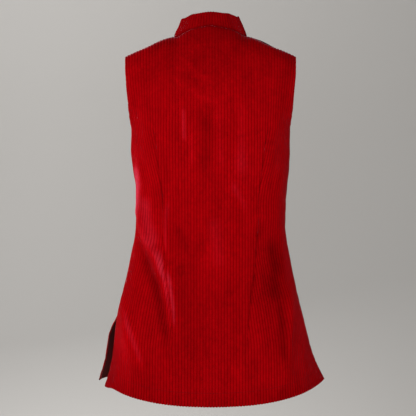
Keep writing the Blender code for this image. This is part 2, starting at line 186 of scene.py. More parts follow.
def makeStudio():
    camera = bpy.data.cameras.new("camera")
    camera.lens = studio["lens"]
    camera.clip_end = 100
    cameraItem = bpy.data.objects.new("camera", camera)
    bpy.context.scene.collection.objects.link(cameraItem)
    cameraItem.location = studio["cameraPlace"]
    cameraItem.rotation_euler = (math.radians(90 - studio["cameraTilt"]), 0, math.pi)
    bpy.context.scene.camera = cameraItem

    radius = studio["sweepRadius"]
    wall = studio["backWall"]
    ground = studio["floorHeight"]
    profile = [(studio["floorFront"], ground), (wall + radius, ground)]
    for step in range(1, 13):
        angle = math.radians(90 * step / 12)
        behind = wall + radius - radius * math.sin(angle)
        profile.append((behind, ground + radius - radius * math.cos(angle)))
    profile.append((wall, studio["wallTop"]))
    points = []
    for y, z in profile:
        points += [(-studio["halfWidth"], y, z), (studio["halfWidth"], y, z)]
    faces = [(2 * i, 2 * i + 2, 2 * i + 3, 2 * i + 1) for i in range(len(profile) - 1)]
    mesh = bpy.data.meshes.new("floor")
    mesh.from_pydata(points, [], faces)
    for face in mesh.polygons:
        face.use_smooth = True
    floor = bpy.data.objects.new("floor", mesh)
    bpy.context.scene.collection.objects.link(floor)
    paper = MaterialMaker("paperFloor")
    mesh.materials.append(paper.finish(Base_Color=(*studio["paper"], 1.0), Roughness=0.95))

    world = bpy.data.worlds.new("studio")
    world.use_nodes = True
    light = world.node_tree.nodes["Background"]
    light.inputs["Color"].default_value = (*studio["world"], 1.0)
    light.inputs["Strength"].default_value = studio["worldStrength"]
    bpy.context.scene.world = world
    bpy.context.scene.view_settings.view_transform = "Standard"
    for name, (place, aim, size, power) in studio["lights"].items():
        addLight(name, place, aim, size, power)


makeStudio()
print("studio ready")

# The cut and hang of the vest, in metres. Section rows: height, left and right half widths,
# back and front depths, dart place along the cloth, dart intake.
body = {
    "section": (
        (-0.193, 0.1687, 0.1687, 0.110, 0.108, 0.122, 0.000),
        (-0.240, 0.1687, 0.1687, 0.110, 0.121, 0.116, 0.010),
        (-0.283, 0.1650, 0.1680, 0.105, 0.123, 0.110, 0.022),
        (-0.318, 0.1600, 0.1638, 0.098, 0.117, 0.106, 0.031),
        (-0.352, 0.1590, 0.1616, 0.091, 0.110, 0.103, 0.035),
        (-0.404, 0.1595, 0.1605, 0.089, 0.107, 0.103, 0.035),
        (-0.455, 0.1680, 0.1672, 0.098, 0.111, 0.098, 0.031),
        (-0.500, 0.1780, 0.1762, 0.106, 0.116, 0.093, 0.023),
        (-0.550, 0.1900, 0.1870, 0.113, 0.122, 0.085, 0.013),
        (-0.600, 0.2020, 0.2000, 0.120, 0.128, 0.080, 0.005),
        (-0.645, 0.2075, 0.2116, 0.127, 0.134, 0.077, 0.000),
        (-0.692, 0.2160, 0.2262, 0.134, 0.139, 0.077, 0.000),
        (-0.737, 0.2305, 0.2480, 0.141, 0.144, 0.077, 0.000),
    ),
    # below the slit top: height, then flare and parting of the edges, left and right
    "slit": (
        (-0.600, 0.000, 0.000, 0.000, 0.000),
        (-0.645, 0.0155, 0.008, -0.001, 0.003),
        (-0.692, 0.0155, 0.013, -0.002, 0.005),
        (-0.737, 0.0145, 0.015, -0.003, 0.006),
    ),
    # armhole: share of the way up, then where back and front end
    "armhole": (
        (0.03, 0.212, 0.203),
        (0.08, 0.203, 0.190),
        (0.16, 0.196, 0.179),
        (0.25, 0.191, 0.173),
        (0.48, 0.187, 0.168),
        (0.70, 0.185, 0.171),
        (0.88, 0.185, 0.179),
        (1.00, 0.185, 0.185),
    ),
    # shoulder line: reach from the middle, then height at the back and front
    "ridge": (
        (-0.041, 0.0280, -0.0140),
        (0.000, 0.0435, -0.0250),
        (0.041, 0.0280, -0.0140),
        (0.060, 0.0125, -0.0040),
        (0.070, 0.0035, 0.0035),
        (0.078, 0.0003, 0.0003),
        (0.091, -0.0024, -0.0024),
        (0.136, -0.0219, -0.0219),
        (0.1816, -0.0420, -0.0420),
        (0.205, -0.0540, -0.0540),
    ),
    "ringHeight": -0.193,
    "neckHalf": 0.078,
    "tipHalf": 0.1816,
    "columnSpread": 0.981,
    "rollPower": 0.8,
    "spreadPower": 2.5,
    "handle": 0.60,
    "edgeStand": 0.10,  # how much the open edges at the slits stand out sideways
    "edgeStandReach": 0.09,  # and how far below the slit top they do so fully
    "foldFade": 4,
    "hemHeight": -0.737,
    "slitTop": -0.600,
    "hemCurve": 1.6,
    "hemFlatness": 2.4,
    "frontDart": (0.088, 0.7),
    "lap": 0.014,
    "lapStep": 0.0036,
    "lapBlend": 0.030,
    "sideDrop": {back: (0.004, 0.001), front: (0.008, 0.008)},  # left and right
    "middleDrop": {back: 0.0295, front: 0.014},
    "cornerDrop": {back: (0.011, 0.0), front: (0.0, 0.0)},  # and how much more at the very corner
    "cornerStart": 0.80,
    "neckDepth": {back: 0.060, front: 0.079},
    "armFullness": {back: 0.030, front: 0.024},
}

# Main folds of each face: start place and height, end place and height, breadth, raised.
mainFolds = {
    back: (
        (0.172, -0.370, 0.103, -0.490, 0.016, 0.0050),
        (0.103, -0.490, 0.078, -0.650, 0.014, 0.0050),
        (0.150, -0.470, 0.120, -0.620, 0.022, -0.0060),
        (0.215, -0.560, 0.160, -0.700, 0.018, 0.0050),
        (0.010, -0.140, 0.008, -0.300, 0.012, -0.0030),
        (0.052, -0.130, 0.052, -0.220, 0.014, 0.0020),
        (-0.020, -0.430, -0.015, -0.500, 0.028, 0.0035),
        (-0.120, -0.450, -0.128, -0.620, 0.024, -0.0055),
        (-0.185, -0.550, -0.165, -0.700, 0.020, 0.0045),
    ),
    front: (
        (0.165, -0.380, 0.110, -0.500, 0.017, 0.0045),
        (0.110, -0.500, 0.098, -0.680, 0.016, 0.0045),
        (0.062, -0.480, 0.052, -0.700, 0.024, -0.0045),
        (-0.150, -0.400, -0.112, -0.520, 0.018, 0.0040),
        (-0.112, -0.520, -0.104, -0.700, 0.018, 0.0050),
        (-0.168, -0.520, -0.155, -0.700, 0.022, -0.0050),
    ),
}

# the long fold from the left side of the waist into the skirt, and the trough below it
longFold = (
    (0.182, -0.375),
    (0.150, -0.425),
    (0.118, -0.457),
    (0.090, -0.505),
    (0.081, -0.560),
    (0.076, -0.645),
)
longTrough = ((0.166, -0.440), (0.140, -0.485), (0.120, -0.521), (0.098, -0.589), (0.086, -0.650))

# Creases that only the cloth has: a line of places and heights, breadth, raised, and how much
# painted highlight (lighter, on ridges) or painted shade (darker, in troughs) lies along it.
# Lines that are not raised are only patches of painted light or shade.
creases = {
    back: (
        (((0.152, -0.325), (0.142, -0.390), (0.116, -0.447)), 0.0180, 0.0004, 0.25),
        (((0.222, -0.600), (0.196, -0.690)), 0.0240, 0.0004, 0.22),
        (((-0.112, -0.110), (-0.104, -0.260)), 0.0200, 0.0006, 0.07),
        (((0.140, -0.050), (-0.140, -0.040)), 0.0420, 0.0, -0.09),
        (((0.130, -0.070), (0.150, -0.160)), 0.0380, 0.0, -0.06),
        (((0.250, -0.650), (0.275, -0.745)), 0.0340, 0.0, -0.26),
        (((-0.215, -0.500), (-0.240, -0.650)), 0.0280, 0.0, 0.10),
        (longFold, 0.0085, 0.0034, 0.13),
        (((0.120, -0.436), (0.090, -0.505), (0.081, -0.560), (0.077, -0.630)), 0.0080, 0.0003, 0.26),
        (((0.106, -0.485), (0.092, -0.560), (0.084, -0.620)), 0.0110, 0.0, 0.16),
        (longTrough, 0.0120, -0.0042, -0.40),
        (((0.205, -0.560), (0.188, -0.597), (0.160, -0.655), (0.138, -0.705)), 0.0080, 0.0028, 0.26),
        (((0.178, -0.262), (0.184, -0.330), (0.186, -0.395)), 0.0130, 0.0008, 0.64),
        (((0.078, 0.000), (0.000, 0.012), (-0.078, 0.000)), 0.0150, 0.0, -0.17),
        (((-0.168, -0.048), (-0.172, -0.085)), 0.0120, 0.0, -0.12),
        (((0.090, -0.335), (0.098, -0.410), (0.097, -0.468)), 0.0060, 0.0015, 0.18),
        (((0.010, -0.155), (0.005, -0.210), (0.013, -0.285)), 0.0105, -0.0030, -0.21),
        (((0.056, -0.140), (0.054, -0.225)), 0.0050, 0.0018, 0.24),
        (((0.040, -0.190), (0.038, -0.275)), 0.0055, 0.0014, 0.12),
        (((-0.014, -0.125), (-0.024, -0.290)), 0.0100, 0.0018, 0.12),
        (((-0.062, -0.115), (-0.064, -0.300)), 0.0120, 0.0020, 0.12),
        (((-0.030, -0.285), (-0.120, -0.285)), 0.0500, 0.0, 0.09),
        (((0.100, -0.325), (0.010, -0.325)), 0.0400, 0.0, 0.07),
        (((-0.075, -0.590), (-0.125, -0.640)), 0.0320, 0.0, 0.12),
        (((0.200, -0.715), (0.040, -0.720)), 0.0300, 0.0, -0.06),
        (((-0.040, -0.300), (-0.070, -0.350), (-0.074, -0.375)), 0.0080, 0.0012, 0.12),
        (((0.074, -0.395), (0.044, -0.450)), 0.0100, -0.0020, -0.22),
        (((0.070, -0.475), (0.060, -0.500)), 0.0120, -0.0020, -0.20),
        (((-0.004, -0.360), (-0.012, -0.425), (-0.020, -0.500)), 0.0200, 0.0028, 0.16),
        (((-0.138, -0.415), (-0.147, -0.490), (-0.143, -0.570)), 0.0165, -0.0042, -0.42),
        (((-0.155, -0.545), (-0.163, -0.690)), 0.0085, -0.0028, -0.30),
        (((-0.104, -0.480), (-0.112, -0.560)), 0.0200, -0.0016, -0.10),
        (((-0.180, -0.560), (-0.172, -0.670)), 0.0070, 0.0020, 0.12),
        (((-0.086, -0.395), (-0.108, -0.372), (-0.124, -0.380)), 0.0055, 0.0016, 0.10),
        (((-0.092, -0.420), (-0.118, -0.400)), 0.0055, -0.0014, -0.16),
        (((-0.100, -0.455), (-0.112, -0.520)), 0.0090, 0.0014, 0.08),
        (((0.052, -0.050), (0.022, -0.080), (-0.006, -0.096)), 0.0062, 0.0020, 0.15),
        (((0.082, -0.080), (0.042, -0.112), (0.004, -0.133), (-0.022, -0.136)), 0.0062, 0.0017, 0.13),
        (((0.060, -0.072), (0.020, -0.104)), 0.0060, -0.0014, -0.10),
        (((-0.060, -0.060), (-0.018, -0.118)), 0.0090, 0.0012, 0.05),
        (((0.160, -0.150), (0.130, -0.215)), 0.0110, 0.0020, 0.06),
        (((-0.160, -0.150), (-0.128, -0.225)), 0.0110, 0.0016, 0.02),
        (((0.050, -0.490), (0.044, -0.560), (0.046, -0.680)), 0.0220, -0.0016, -0.12),
        (((-0.052, -0.600), (-0.056, -0.720)), 0.0160, 0.0016, 0.07),
    ),
    front: (
        (((0.206, -0.270), (0.208, -0.400)), 0.0120, 0.0, 0.34),
        (((0.170, -0.380), (0.128, -0.450), (0.108, -0.520), (0.100, -0.640)), 0.0070, 0.0030, 0.16),
        (((0.150, -0.440), (0.126, -0.520), (0.118, -0.600)), 0.0110, -0.0032, -0.22),
        (((-0.155, -0.400), (-0.118, -0.470), (-0.106, -0.560), (-0.100, -0.660)), 0.0080, 0.0028, 0.12),
        (((-0.140, -0.470), (-0.126, -0.560)), 0.0110, -0.0026, -0.20),
        (((0.110, -0.140), (0.080, -0.230)), 0.0120, 0.0020, 0.08),
        (((-0.110, -0.140), (-0.080, -0.230)), 0.0120, 0.0020, 0.08),
        (((0.060, -0.330), (0.022, -0.372)), 0.0080, 0.0014, 0.08),
        (((-0.060, -0.340), (-0.022, -0.374)), 0.0080, 0.0014, 0.08),
        (((0.050, -0.560), (0.046, -0.700)), 0.0140, 0.0016, 0.06),
        (((-0.056, -0.540), (-0.052, -0.690)), 0.0140, 0.0016, 0.06),
    ),
}

# The cloth itself and how finely it is laid.
cloth = {
    "pitch": 0.00635,
    "waleHeight": 0.00110,
    "plump": 2.4,  # higher is a flatter wale with a narrower groove
    "wall": 0.0013,
    "columnsPerWale": 6,
    "facing": 0.007,  # how far the turned edges reach in beside the slits
    "rowSpacing": 0.0054,
    "upperRows": 42,
    "upperLength": 0.25,  # above the underarm, as the pattern runs
    "upperReach": 0.24,  # and as the seams there measure it
    "roll": 0.0015,  # radius of a folded edge
    "seamDip": 0.0013,
    "seamBreadth": 0.0050,
    "seamShade": 0.35,
    "neckShade": 0.80,
    "dartShade": 0.22,
    "shadeBreadth": 0.0030,
    "neckPress": 0.5,  # how much of the seam's depth and shade shows at the neck
    "flattened": (0.8, 0.007),  # the wales near the upper seams: how much and how far
    "dartDip": 0.0016,
    "dartBreadth": 0.0048,
    "dartFull": 0.008,  # intake from which a dart shows fully
    "pucker": (0.00035, 0.0042, 0.007),  # height, spacing and reach from the dart
    "edgeCalm": (0.6, 0.006),  # the cloth lies flatter at a folded edge: how much and how far
    "edgeFold": 1.3,  # breadth of a folded edge in rolls
    "turnUp": 0.028,
    "turnThick": 0.0011,
    "thinnest": 0.0006,
    "creaseEnd": 0.25,  # strength of a crease at its ends
    "creaseTaper": 0.22,
    "creaseShade": 1.25,  # breadth of its tone in breadths of its relief
    "skirtShade": (0.06, 0.30, 0.12),  # how much, from how far above the hem, over what height
    "hemShade": (0.14, 0.022),
    "wearReach": 0.004,
    "innerWear": 0.3,
    "sharpFrom": 1.15,  # angle between faces, in radians
}
columnSpacing = cloth["pitch"] / cloth["columnsPerWale"]
pile, plain = 0, 1  # material slots of the cloth pieces
samePlace = 1e-7  # closer columns are one point


def smoothCurve(places, values):
    places = np.array(places, float)
    values = np.array(values, float)
    steps = np.diff(places)
    slopes = np.diff(values) / steps
    before = slopes[:-1]
    after = slopes[1:]
    sameWay = before * after > 0
    total = np.where(sameWay, before + after, 1.0)
    inner = np.where(sameWay, 2 * before * after / total, 0.0)
    tangents = np.concatenate(([slopes[0]], inner, [slopes[-1]]))

    def value(place):
        place = np.clip(place, places[0], places[-1])
        index = np.clip(np.searchsorted(places, place) - 1, 0, len(steps) - 1)
        share = (place - places[index]) / steps[index]
        rise = share * share * (3 - 2 * share)
        lead = share * (1 - share) ** 2 * tangents[index]
        trail = share * share * (share - 1) * tangents[index + 1]
        return values[index] * (1 - rise) + values[index + 1] * rise + (lead + trail) * steps[index]

    return value


def tableCurves(rows):
    ordered = np.array(sorted(rows))
    return [smoothCurve(ordered[:, 0], ordered[:, column]) for column in range(1, ordered.shape[1])]


sectionCurves = tableCurves(body["section"])
widthCurve = {left: sectionCurves[0], right: sectionCurves[1]}
depthCurve = {back: sectionCurves[2], front: sectionCurves[3]}
dartPlaceCurve, dartIntakeCurve = sectionCurves[4:]
slitCurves = tableCurves(body["slit"])
flareCurve = {left: slitCurves[0], right: slitCurves[2]}
partCurve = {left: slitCurves[1], right: slitCurves[3]}
ridgeCurves = tableCurves(body["ridge"])
ridgeCurve = {back: ridgeCurves[0], front: ridgeCurves[1]}
neckPlace = body["neckHalf"] / body["columnSpread"]
sections = {}


def bell(distance, reach):
    return np.exp(-((distance / reach) ** 2))


def eased(share):
    share = np.clip(share, 0.0, 1.0)
    return share * share * (3 - 2 * share)


def section(face, side, height):  # a quarter of a level section: x, y, its tangent, length
    key = (face, side, round(float(height), 6))
    if key not in sections:
        width = widthCurve[side](height)
        edge = 0.0
        if height < body["slitTop"]:
            edge = face * partCurve[side](height)
            if face == front:
                width = width + flareCurve[side](height)
        centre = face * depthCurve[face](height)
        stands = 1 - body["edgeStand"] * eased((body["slitTop"] - height) / body["edgeStandReach"])
        share = np.linspace(0, 1, 161)
        rest = 1 - share
        weights = np.array((rest ** 3, 3 * rest ** 2 * share, 3 * rest * share ** 2, share ** 3))
        x = np.dot((0, body["handle"] * width, width * stands, width), weights)
        y = np.dot((centre, centre, edge + body["handle"] * (centre - edge), edge), weights)
        length = np.concatenate(([0], np.cumsum(np.hypot(np.diff(x), np.diff(y)))))
        sections[key] = (x, y, np.gradient(x, length), np.gradient(y, length), length)
    return sections[key]


def halfLength(face, side, height):
    return float(section(face, side, height)[4][-1])


def levelSpots(face, place, height):
    found = np.zeros((4, len(place)))
    for side in (left, right):
        chosen = place >= 0 if side == left else place < 0
        x, y, slopeX, slopeY, length = section(face, side, height)
        reach = np.minimum(np.abs(place[chosen]), length[-1])
        past = np.abs(place[chosen]) - reach
        runX = np.interp(reach, length, slopeX)
        runY = np.interp(reach, length, slopeY)
        size = np.hypot(runX, runY)
        found[0, chosen] = side * np.interp(reach, length, x)
        found[1, chosen] = np.interp(reach, length, y) - face * past
        found[2, chosen] = -runY * face / size * side
        found[3, chosen] = runX * face / size
    return found


def upperSpots(face, place, share):
    ringX, ringY, outX, outY = levelSpots(face, place, body["ringHeight"])
    reach = np.abs(place) * body["columnSpread"]
    topX = np.copysign(reach, place)
    turned = share * math.pi / 2
    fall = np.maximum(np.cos(turned), 0.0) ** body["rollPower"]
    climb = np.maximum(np.sin(turned), 0.0) ** body["rollPower"]
    spread = 1 - np.maximum(1 - share, 0.0) ** body["spreadPower"]
    fullness = face * body["armFullness"][face] * (reach / body["tipHalf"]) ** 2 * spread
    x = ringX + (topX - ringX) * spread
    y = (ringY + fullness) * fall
    z = body["ringHeight"] + (ridgeCurve[face](reach) - body["ringHeight"]) * climb
    return x, y, z, outX, outY


def topShare(face, place):  # how far up each column runs before the neck oval cuts it
    low = np.full(len(place), 0.1)
    high = np.ones(len(place))
    for _ in range(40):
        middle = (low + high) / 2
        x, y = upperSpots(face, place, middle)[:2]
        outside = (x / body["neckHalf"]) ** 2 + (y / body["neckDepth"][face]) ** 2 > 1
        low = np.where(outside, middle, low)
        high = np.where(outside, high, middle)
    return np.where(np.abs(place) >= neckPlace, 1.0, low)


def foldHeight(folds, place, height):
    total = np.zeros(len(place))
    for start, startHeight, end, endHeight, breadth, raised in folds:
        run = (end - start, endHeight - startHeight)
        gap = (place - start, height - startHeight)
        share = np.clip((gap[0] * run[0] + gap[1] * run[1]) / (run[0] ** 2 + run[1] ** 2), 0, 1)
        distance = np.hypot(gap[0] - share * run[0], gap[1] - share * run[1])
        total += raised * bell(distance, breadth)
    return total


def creaseHeight(face, place, height):  # relief and tone of the creases
    relief = np.zeros(len(place))
    tone = np.zeros(len(place))
    for line, breadth, raised, paintedTone in creases[face]:
        lengths = [math.dist(line[i], line[i + 1]) for i in range(len(line) - 1)]
        nearest = np.full(len(place), 9.0)
        along = np.zeros(len(place))
        passed = 0.0
        for (start, end), length in zip(zip(line[:-1], line[1:]), lengths):
            run = ((end[0] - start[0]) / length, (end[1] - start[1]) / length)
            gap = (place - start[0], height - start[1])
            reach = np.clip(gap[0] * run[0] + gap[1] * run[1], 0, length)
            distance = np.hypot(gap[0] - reach * run[0], gap[1] - reach * run[1])
            closer = distance < nearest
            nearest = np.where(closer, distance, nearest)
            along = np.where(closer, passed + reach, along)
            passed += length
        share = along / passed
        tapered = eased(np.minimum(share, 1 - share) / cloth["creaseTaper"])
        strength = cloth["creaseEnd"] + (1 - cloth["creaseEnd"]) * tapered
        relief += raised * strength * bell(nearest, breadth)
        # painted light on ridges, painted shade in troughs
        tone += paintedTone * strength * bell(nearest, breadth * cloth["creaseShade"])
    return relief, tone


def lapInset(face, place, side):
    if face == back or side == right:
        return np.zeros(len(place))
    return -body["lapStep"] * (1 - eased((place - body["lap"]) / body["lapBlend"]))


def dartAt(face, height):
    if face == back:
        return float(dartPlaceCurve(height)), float(dartIntakeCurve(height))
    place, share = body["frontDart"]
    return place, float(dartIntakeCurve(height)) * share


# Spots of the plain cloth. Above the underarm share is an array, below it is one depth.
def clothSpots(face, place, share, side):
    if np.ndim(share) > 0:
        x, y, z, outX, outY = upperSpots(face, place, share)
        strength = 1 - share ** body["foldFade"]
    else:
        height = body["ringHeight"] + share
        x, y, outX, outY = levelSpots(face, place, height)
        ends = np.where(place >= 0, halfLength(face, left, height), halfLength(face, right, height))
        hang = eased((body["slitTop"] - height) / (body["slitTop"] - body["hemHeight"]))
        reach = np.minimum(np.abs(place) / ends, 1.0)
        middleness = (1 - reach ** body["hemFlatness"]) ** body["hemCurve"]
        drop = np.where(place >= 0, *body["sideDrop"][face])
        corner = np.where(place >= 0, *body["cornerDrop"][face])
        corner = corner * eased((reach - body["cornerStart"]) / (1 - body["cornerStart"]))
        z = height - (drop + (body["middleDrop"][face] - drop) * middleness + corner) * hang
        strength = 1.0
    raised = foldHeight(mainFolds[face], place, z) * strength + lapInset(face, place, side)
    return np.stack((x + outX * raised, y + outY * raised, z), axis=1)


def unit(vectors):
    return vectors / np.maximum(np.linalg.norm(vectors, axis=1), 1e-12)[:, None]


def clothFrame(face, place, share, side):  # directions out of the cloth and down along it
    step = 0.0015
    shareStep = 0.012
    if np.ndim(share) > 0:
        upper = np.minimum(share + shareStep, 1.0)
        lower = np.maximum(share - shareStep, share * 0.4)
    else:
        upper = min(share + step, 0.0)
        lower = share - step
    across = clothSpots(face, place + step, share, side) - clothSpots(face, place - step, share, side)
    down = clothSpots(face, place, lower, side) - clothSpots(face, place, upper, side)
    return unit(np.cross(across, down) * face), unit(down)


def armholeCurve(face):
    column = 1 if face == back else 2
    rows = [(0.0, halfLength(face, left, body["ringHeight"]))]
    rows += [(row[0], row[column]) for row in body["armhole"]]
    return smoothCurve([row[0] for row in rows], [row[1] for row in rows])


armholes = {back: armholeCurve(back), front: armholeCurve(front)}


def edgePlace(face, side, level):
    if level > 0:
        return float(armholes[face](level))
    return halfLength(face, side, body["ringHeight"] + level)


def laidPlaces(face, pattern, level, first, last):  # from the flat cloth to the sewn form
    place = np.abs(pattern)
    if level <= 0:
        dartPlace, intake = dartAt(face, body["ringHeight"] + level)
        place = np.where(place > dartPlace, np.maximum(place - intake, dartPlace), place)
    return np.clip(np.copysign(place, pattern), first, last)


def waleShape(pattern):
    offCentre = np.abs(pattern / cloth["pitch"] - np.round(pattern / cloth["pitch"])) * 2
    return cloth["waleHeight"] * (1 - offCentre ** cloth["plump"])


def edgeDrop(distance, breadth, depth):  # rounds over a folded edge
    inside = np.clip(1 - distance / breadth, 0.0, 1.0)
    return -depth * (1 - np.sqrt(1 - inside ** 2))


def seamDrop(distance, breadth, depth):  # sinks softly into a seam
    return -depth * np.clip(1 - distance / breadth, 0.0, 1.0) ** 2


def softUneven(face, pattern, v):  # the slight unrest of hanging cloth
    waves = (  # across, along, phase, size
        (61.0, 13.0, 0.4, 0.00050),
        (38.0, -29.0, 2.1, 0.00045),
        (97.0, 41.0, 4.4, 0.00028),
        (-71.0, 74.0, 1.3, 0.00026),
        (23.0, 110.0, 5.2, 0.00030),
    )
    total = np.zeros(len(pattern))
    for across, along, phase, size in waves:
        total += size * np.sin(pattern * across + v * along + phase + face * 1.7)
    return total


class Shell:  # gathers one closed piece of cloth, with the flat cloth's place as its UV
    def __init__(self):
        self.points = []
        self.faces = []
        self.uvs = []
        self.kinds = []
        self.wear = []
        # painted light and shade of each point: lighter on lit ridges, darker in troughs, at seams and low
        # down
        self.paintedShading = []

    def addRow(self, place, points, pattern, v, wear, paintedShading):
        kept = np.concatenate(([True], np.abs(np.diff(place)) > samePlace))
        index = np.cumsum(kept) - 1 + len(self.points)
        self.points += points[kept].tolist()
        self.wear += np.broadcast_to(wear, place.shape)[kept].tolist()
        self.paintedShading += np.broadcast_to(paintedShading, place.shape)[kept].tolist()
        return {"place": place, "index": index, "u": pattern, "v": v, "kept": kept}

    def addFace(self, corners, kind):
        seen = []
        for corner in corners:
            if all(corner[0] != other[0] for other in seen):
                seen.append(corner)
        if len(seen) > 2:
            self.faces.append([corner[0] for corner in seen])
            self.uvs += [(corner[1], corner[2]) for corner in seen]
            self.kinds.append(kind)

    def addSheet(self, rows, mainKind, faced=None):  # the open edges below one depth can be faced
        for upper, lower in zip(rows[:-1], rows[1:]):
            uI, lI, u = upper["index"].tolist(), lower["index"].tolist(), upper["u"].tolist()
            uV, lV = upper["v"], lower["v"]
            edges = lower["place"][[0, -1]]
            middle = (lower["place"][1:] + lower["place"][:-1]) / 2
            near = np.minimum(edges[1] - middle, middle - edges[0]).tolist()
            for c in range(len(uI) - 1):
                if uI[c] == uI[c + 1] and lI[c] == lI[c + 1]:
                    continue
                kind = pile if faced and lV < faced[0] and near[c] < faced[1] else mainKind
                self.addFace(
                    (
                        (uI[c], u[c], uV),
                        (uI[c + 1], u[c + 1], uV),
                        (lI[c + 1], u[c + 1], lV),
                        (lI[c], u[c], lV),
                    ),
                    kind,
                )

    def addRim(self, outer, inner):  # joins two rows that differ in number
        def chain(row):
            kept = row["kept"]
            return list(
                zip(row["place"][kept].tolist(), row["index"][kept].tolist(), row["u"][kept].tolist())
            )

        near, far = chain(outer), chain(inner)
        a = b = 0
        while a < len(near) - 1 or b < len(far) - 1:
            nearNext = near[a + 1][0] if a < len(near) - 1 else math.inf
            farNext = far[b + 1][0] if b < len(far) - 1 else math.inf
            here = (near[a][1], near[a][2], outer["v"])
            there = (far[b][1], far[b][2], inner["v"])
            if nearNext <= farNext:
                self.addFace((here, (near[a + 1][1], near[a + 1][2], outer["v"]), there), plain)
                a += 1
            else:
                self.addFace((here, (far[b + 1][1], far[b + 1][2], inner["v"]), there), plain)
                b += 1

    def closeSides(self, outer, inner):  # the outer rows past the last inner one fan round the fold
        for end in (0, -1):
            for row in range(len(outer) - 1):
                around = [outer[row], outer[row + 1], inner[-1]]
                if row < len(inner) - 1:
                    around[2:] = [inner[row + 1], inner[row]]
                corners = [(part["index"][end], part["u"][end], part["v"]) for part in around]
                self.addFace(corners, plain)

    def closeUp(self, outer, inner, faced=None):
        self.addSheet(outer, pile)
        self.addSheet(inner, plain, faced)
        self.addRim(outer[0], inner[0])
        self.addRim(outer[-1], inner[-1])
        self.closeSides(outer, inner)

    def finish(self, name, materials):
        mesh = bpy.data.meshes.new(name)
        mesh.from_pydata(self.points, [], self.faces)
        layer = mesh.uv_layers.new(name="flatCloth")
        layer.data.foreach_set("uv", np.array(self.uvs, dtype=np.float32).ravel())
        for attribute in ("wear", "paintedShading"):
            values = mesh.attributes.new(attribute, "FLOAT", "POINT")
            values.data.foreach_set("value", np.array(getattr(self, attribute), dtype=np.float32))
        for material in materials:
            mesh.materials.append(material)
        mesh.polygons.foreach_set("material_index", self.kinds)
        mesh.polygons.foreach_set("use_smooth", [True] * len(self.faces))
        shape = bmesh.new()
        shape.from_mesh(mesh)
        bmesh.ops.recalc_face_normals(shape, faces=shape.faces)
        if shape.calc_volume(signed=True) < 0:
            bmesh.ops.reverse_faces(shape, faces=shape.faces)
        openEdges = 0
        for edge in shape.edges:
            openEdges += len(edge.link_faces) != 2
            edge.smooth = edge.calc_face_angle(0.0) < cloth["sharpFrom"]
        shape.to_mesh(mesh)
        shape.free()
        piece = bpy.data.objects.new(name, mesh)
        bpy.context.scene.collection.objects.link(piece)
        triangles = sum(len(face) - 2 for face in self.faces)
        print(name, "triangles", triangles, "open edges", openEdges)
        return piece


def rollRows(shell, base, outward, ahead, raised, place, pattern, v, wear, paintedShading):
    # a folded edge: the wales run round it, and the last of these rows faces inwards
    radius = cloth["roll"]
    made = []
    for angle in (30, 60, 90, 120, 150):
        turn = math.radians(angle)
        fade = 1 if angle <= 90 else (180 - angle) / 90
        size = (radius + raised * fade)[:, None]
        centre = base - outward * radius
        points = centre + size * (outward * math.cos(turn) + ahead * math.sin(turn))
        made.append(shell.addRow(place, points, pattern, v - radius * turn, wear, paintedShading))
    return made


def waleColumns(low, high):  # fine columns for the outer side, coarse ones for the inner
    pattern = np.arange(math.floor(low / columnSpacing), math.ceil(high / columnSpacing) + 1) * columnSpacing
    coarse = pattern[:: cloth["columnsPerWale"] // 2]
    if coarse[-1] < pattern[-1]:
        coarse = np.append(coarse, pattern[-1])
    return pattern, coarse


def panelLevels():  # closer together below the upper seams and at the hem's fold
    upper = [1.0, 0.994, 0.984]
    upper += [share for share in 1 - np.linspace(0, 1, cloth["upperRows"]) if 0 < share < 0.975]
    depth = body["ringHeight"] - body["hemHeight"]
    count = int(round(depth / cloth["rowSpacing"]))
    lower = [-(depth - cloth["roll"] * 5) * step / count for step in range(count + 1)]
    lower += [-(depth - cloth["roll"] * 2.6), -(depth - cloth["roll"])]
    return upper + lower


def panelEnds(face, side, level):
    if face == back:
        return -edgePlace(back, right, level), edgePlace(back, left, level)
    if side == left:
        return -body["lap"], edgePlace(front, left, level)
    return -edgePlace(front, right, level), body["lap"]


def rowRelief(face, side, level, place, pattern, v, z):
    # what raises or sinks the plain form apart from the wales: creases, seams, darts, folded edges;
    # and the painted light and shade of the creases, with painted shade along seams, darts and the neck
    relief, tone = creaseHeight(face, place, z)
    raised = softUneven(face, pattern, v) + relief
    seam = np.zeros(len(place))
    height = body["ringHeight"] + level if level <= 0 else 0.0
    first, last = panelEnds(face, side, level)
    for distance, edgeSide in ((last - place, left), (place - first, right)):
        openFront = face == front and edgeSide != side
        sewn = level <= 0 and height > body["slitTop"] and not openFront
        if sewn:
            seam += seamDrop(distance, cloth["seamBreadth"], cloth["seamDip"])
            tone -= cloth["seamShade"] * bell(distance, cloth["shadeBreadth"])
        else:
            calm, calmReach = cloth["edgeCalm"]
            seam += edgeDrop(distance, cloth["roll"] * cloth["edgeFold"], cloth["roll"])
            raised *= 1 - calm * bell(distance, calmReach)
    if level > 0:
        upperShare = np.where(np.abs(place) < neckPlace, cloth["neckPress"], 0.0)
        distance = (1 - level) * cloth["upperReach"]
        seam += seamDrop(distance, cloth["seamBreadth"], cloth["seamDip"]) * upperShare
        tone -= cloth["neckShade"] * bell(distance, cloth["shadeBreadth"]) * upperShare
    if level <= 0:
        dartPlace, intake = dartAt(face, height)
        if intake > 0:
            strength = min(intake / cloth["dartFull"], 1.0)
            off = np.abs(np.abs(place) - dartPlace)
            seam += seamDrop(off, cloth["dartBreadth"], cloth["dartDip"]) * strength
            tone -= cloth["dartShade"] * strength * bell(off, cloth["shadeBreadth"])
            size, spacing, reach = cloth["pucker"]
            raised += np.sin(v / spacing + face) * np.exp(-off / reach) * size * strength
    return raised, seam, tone


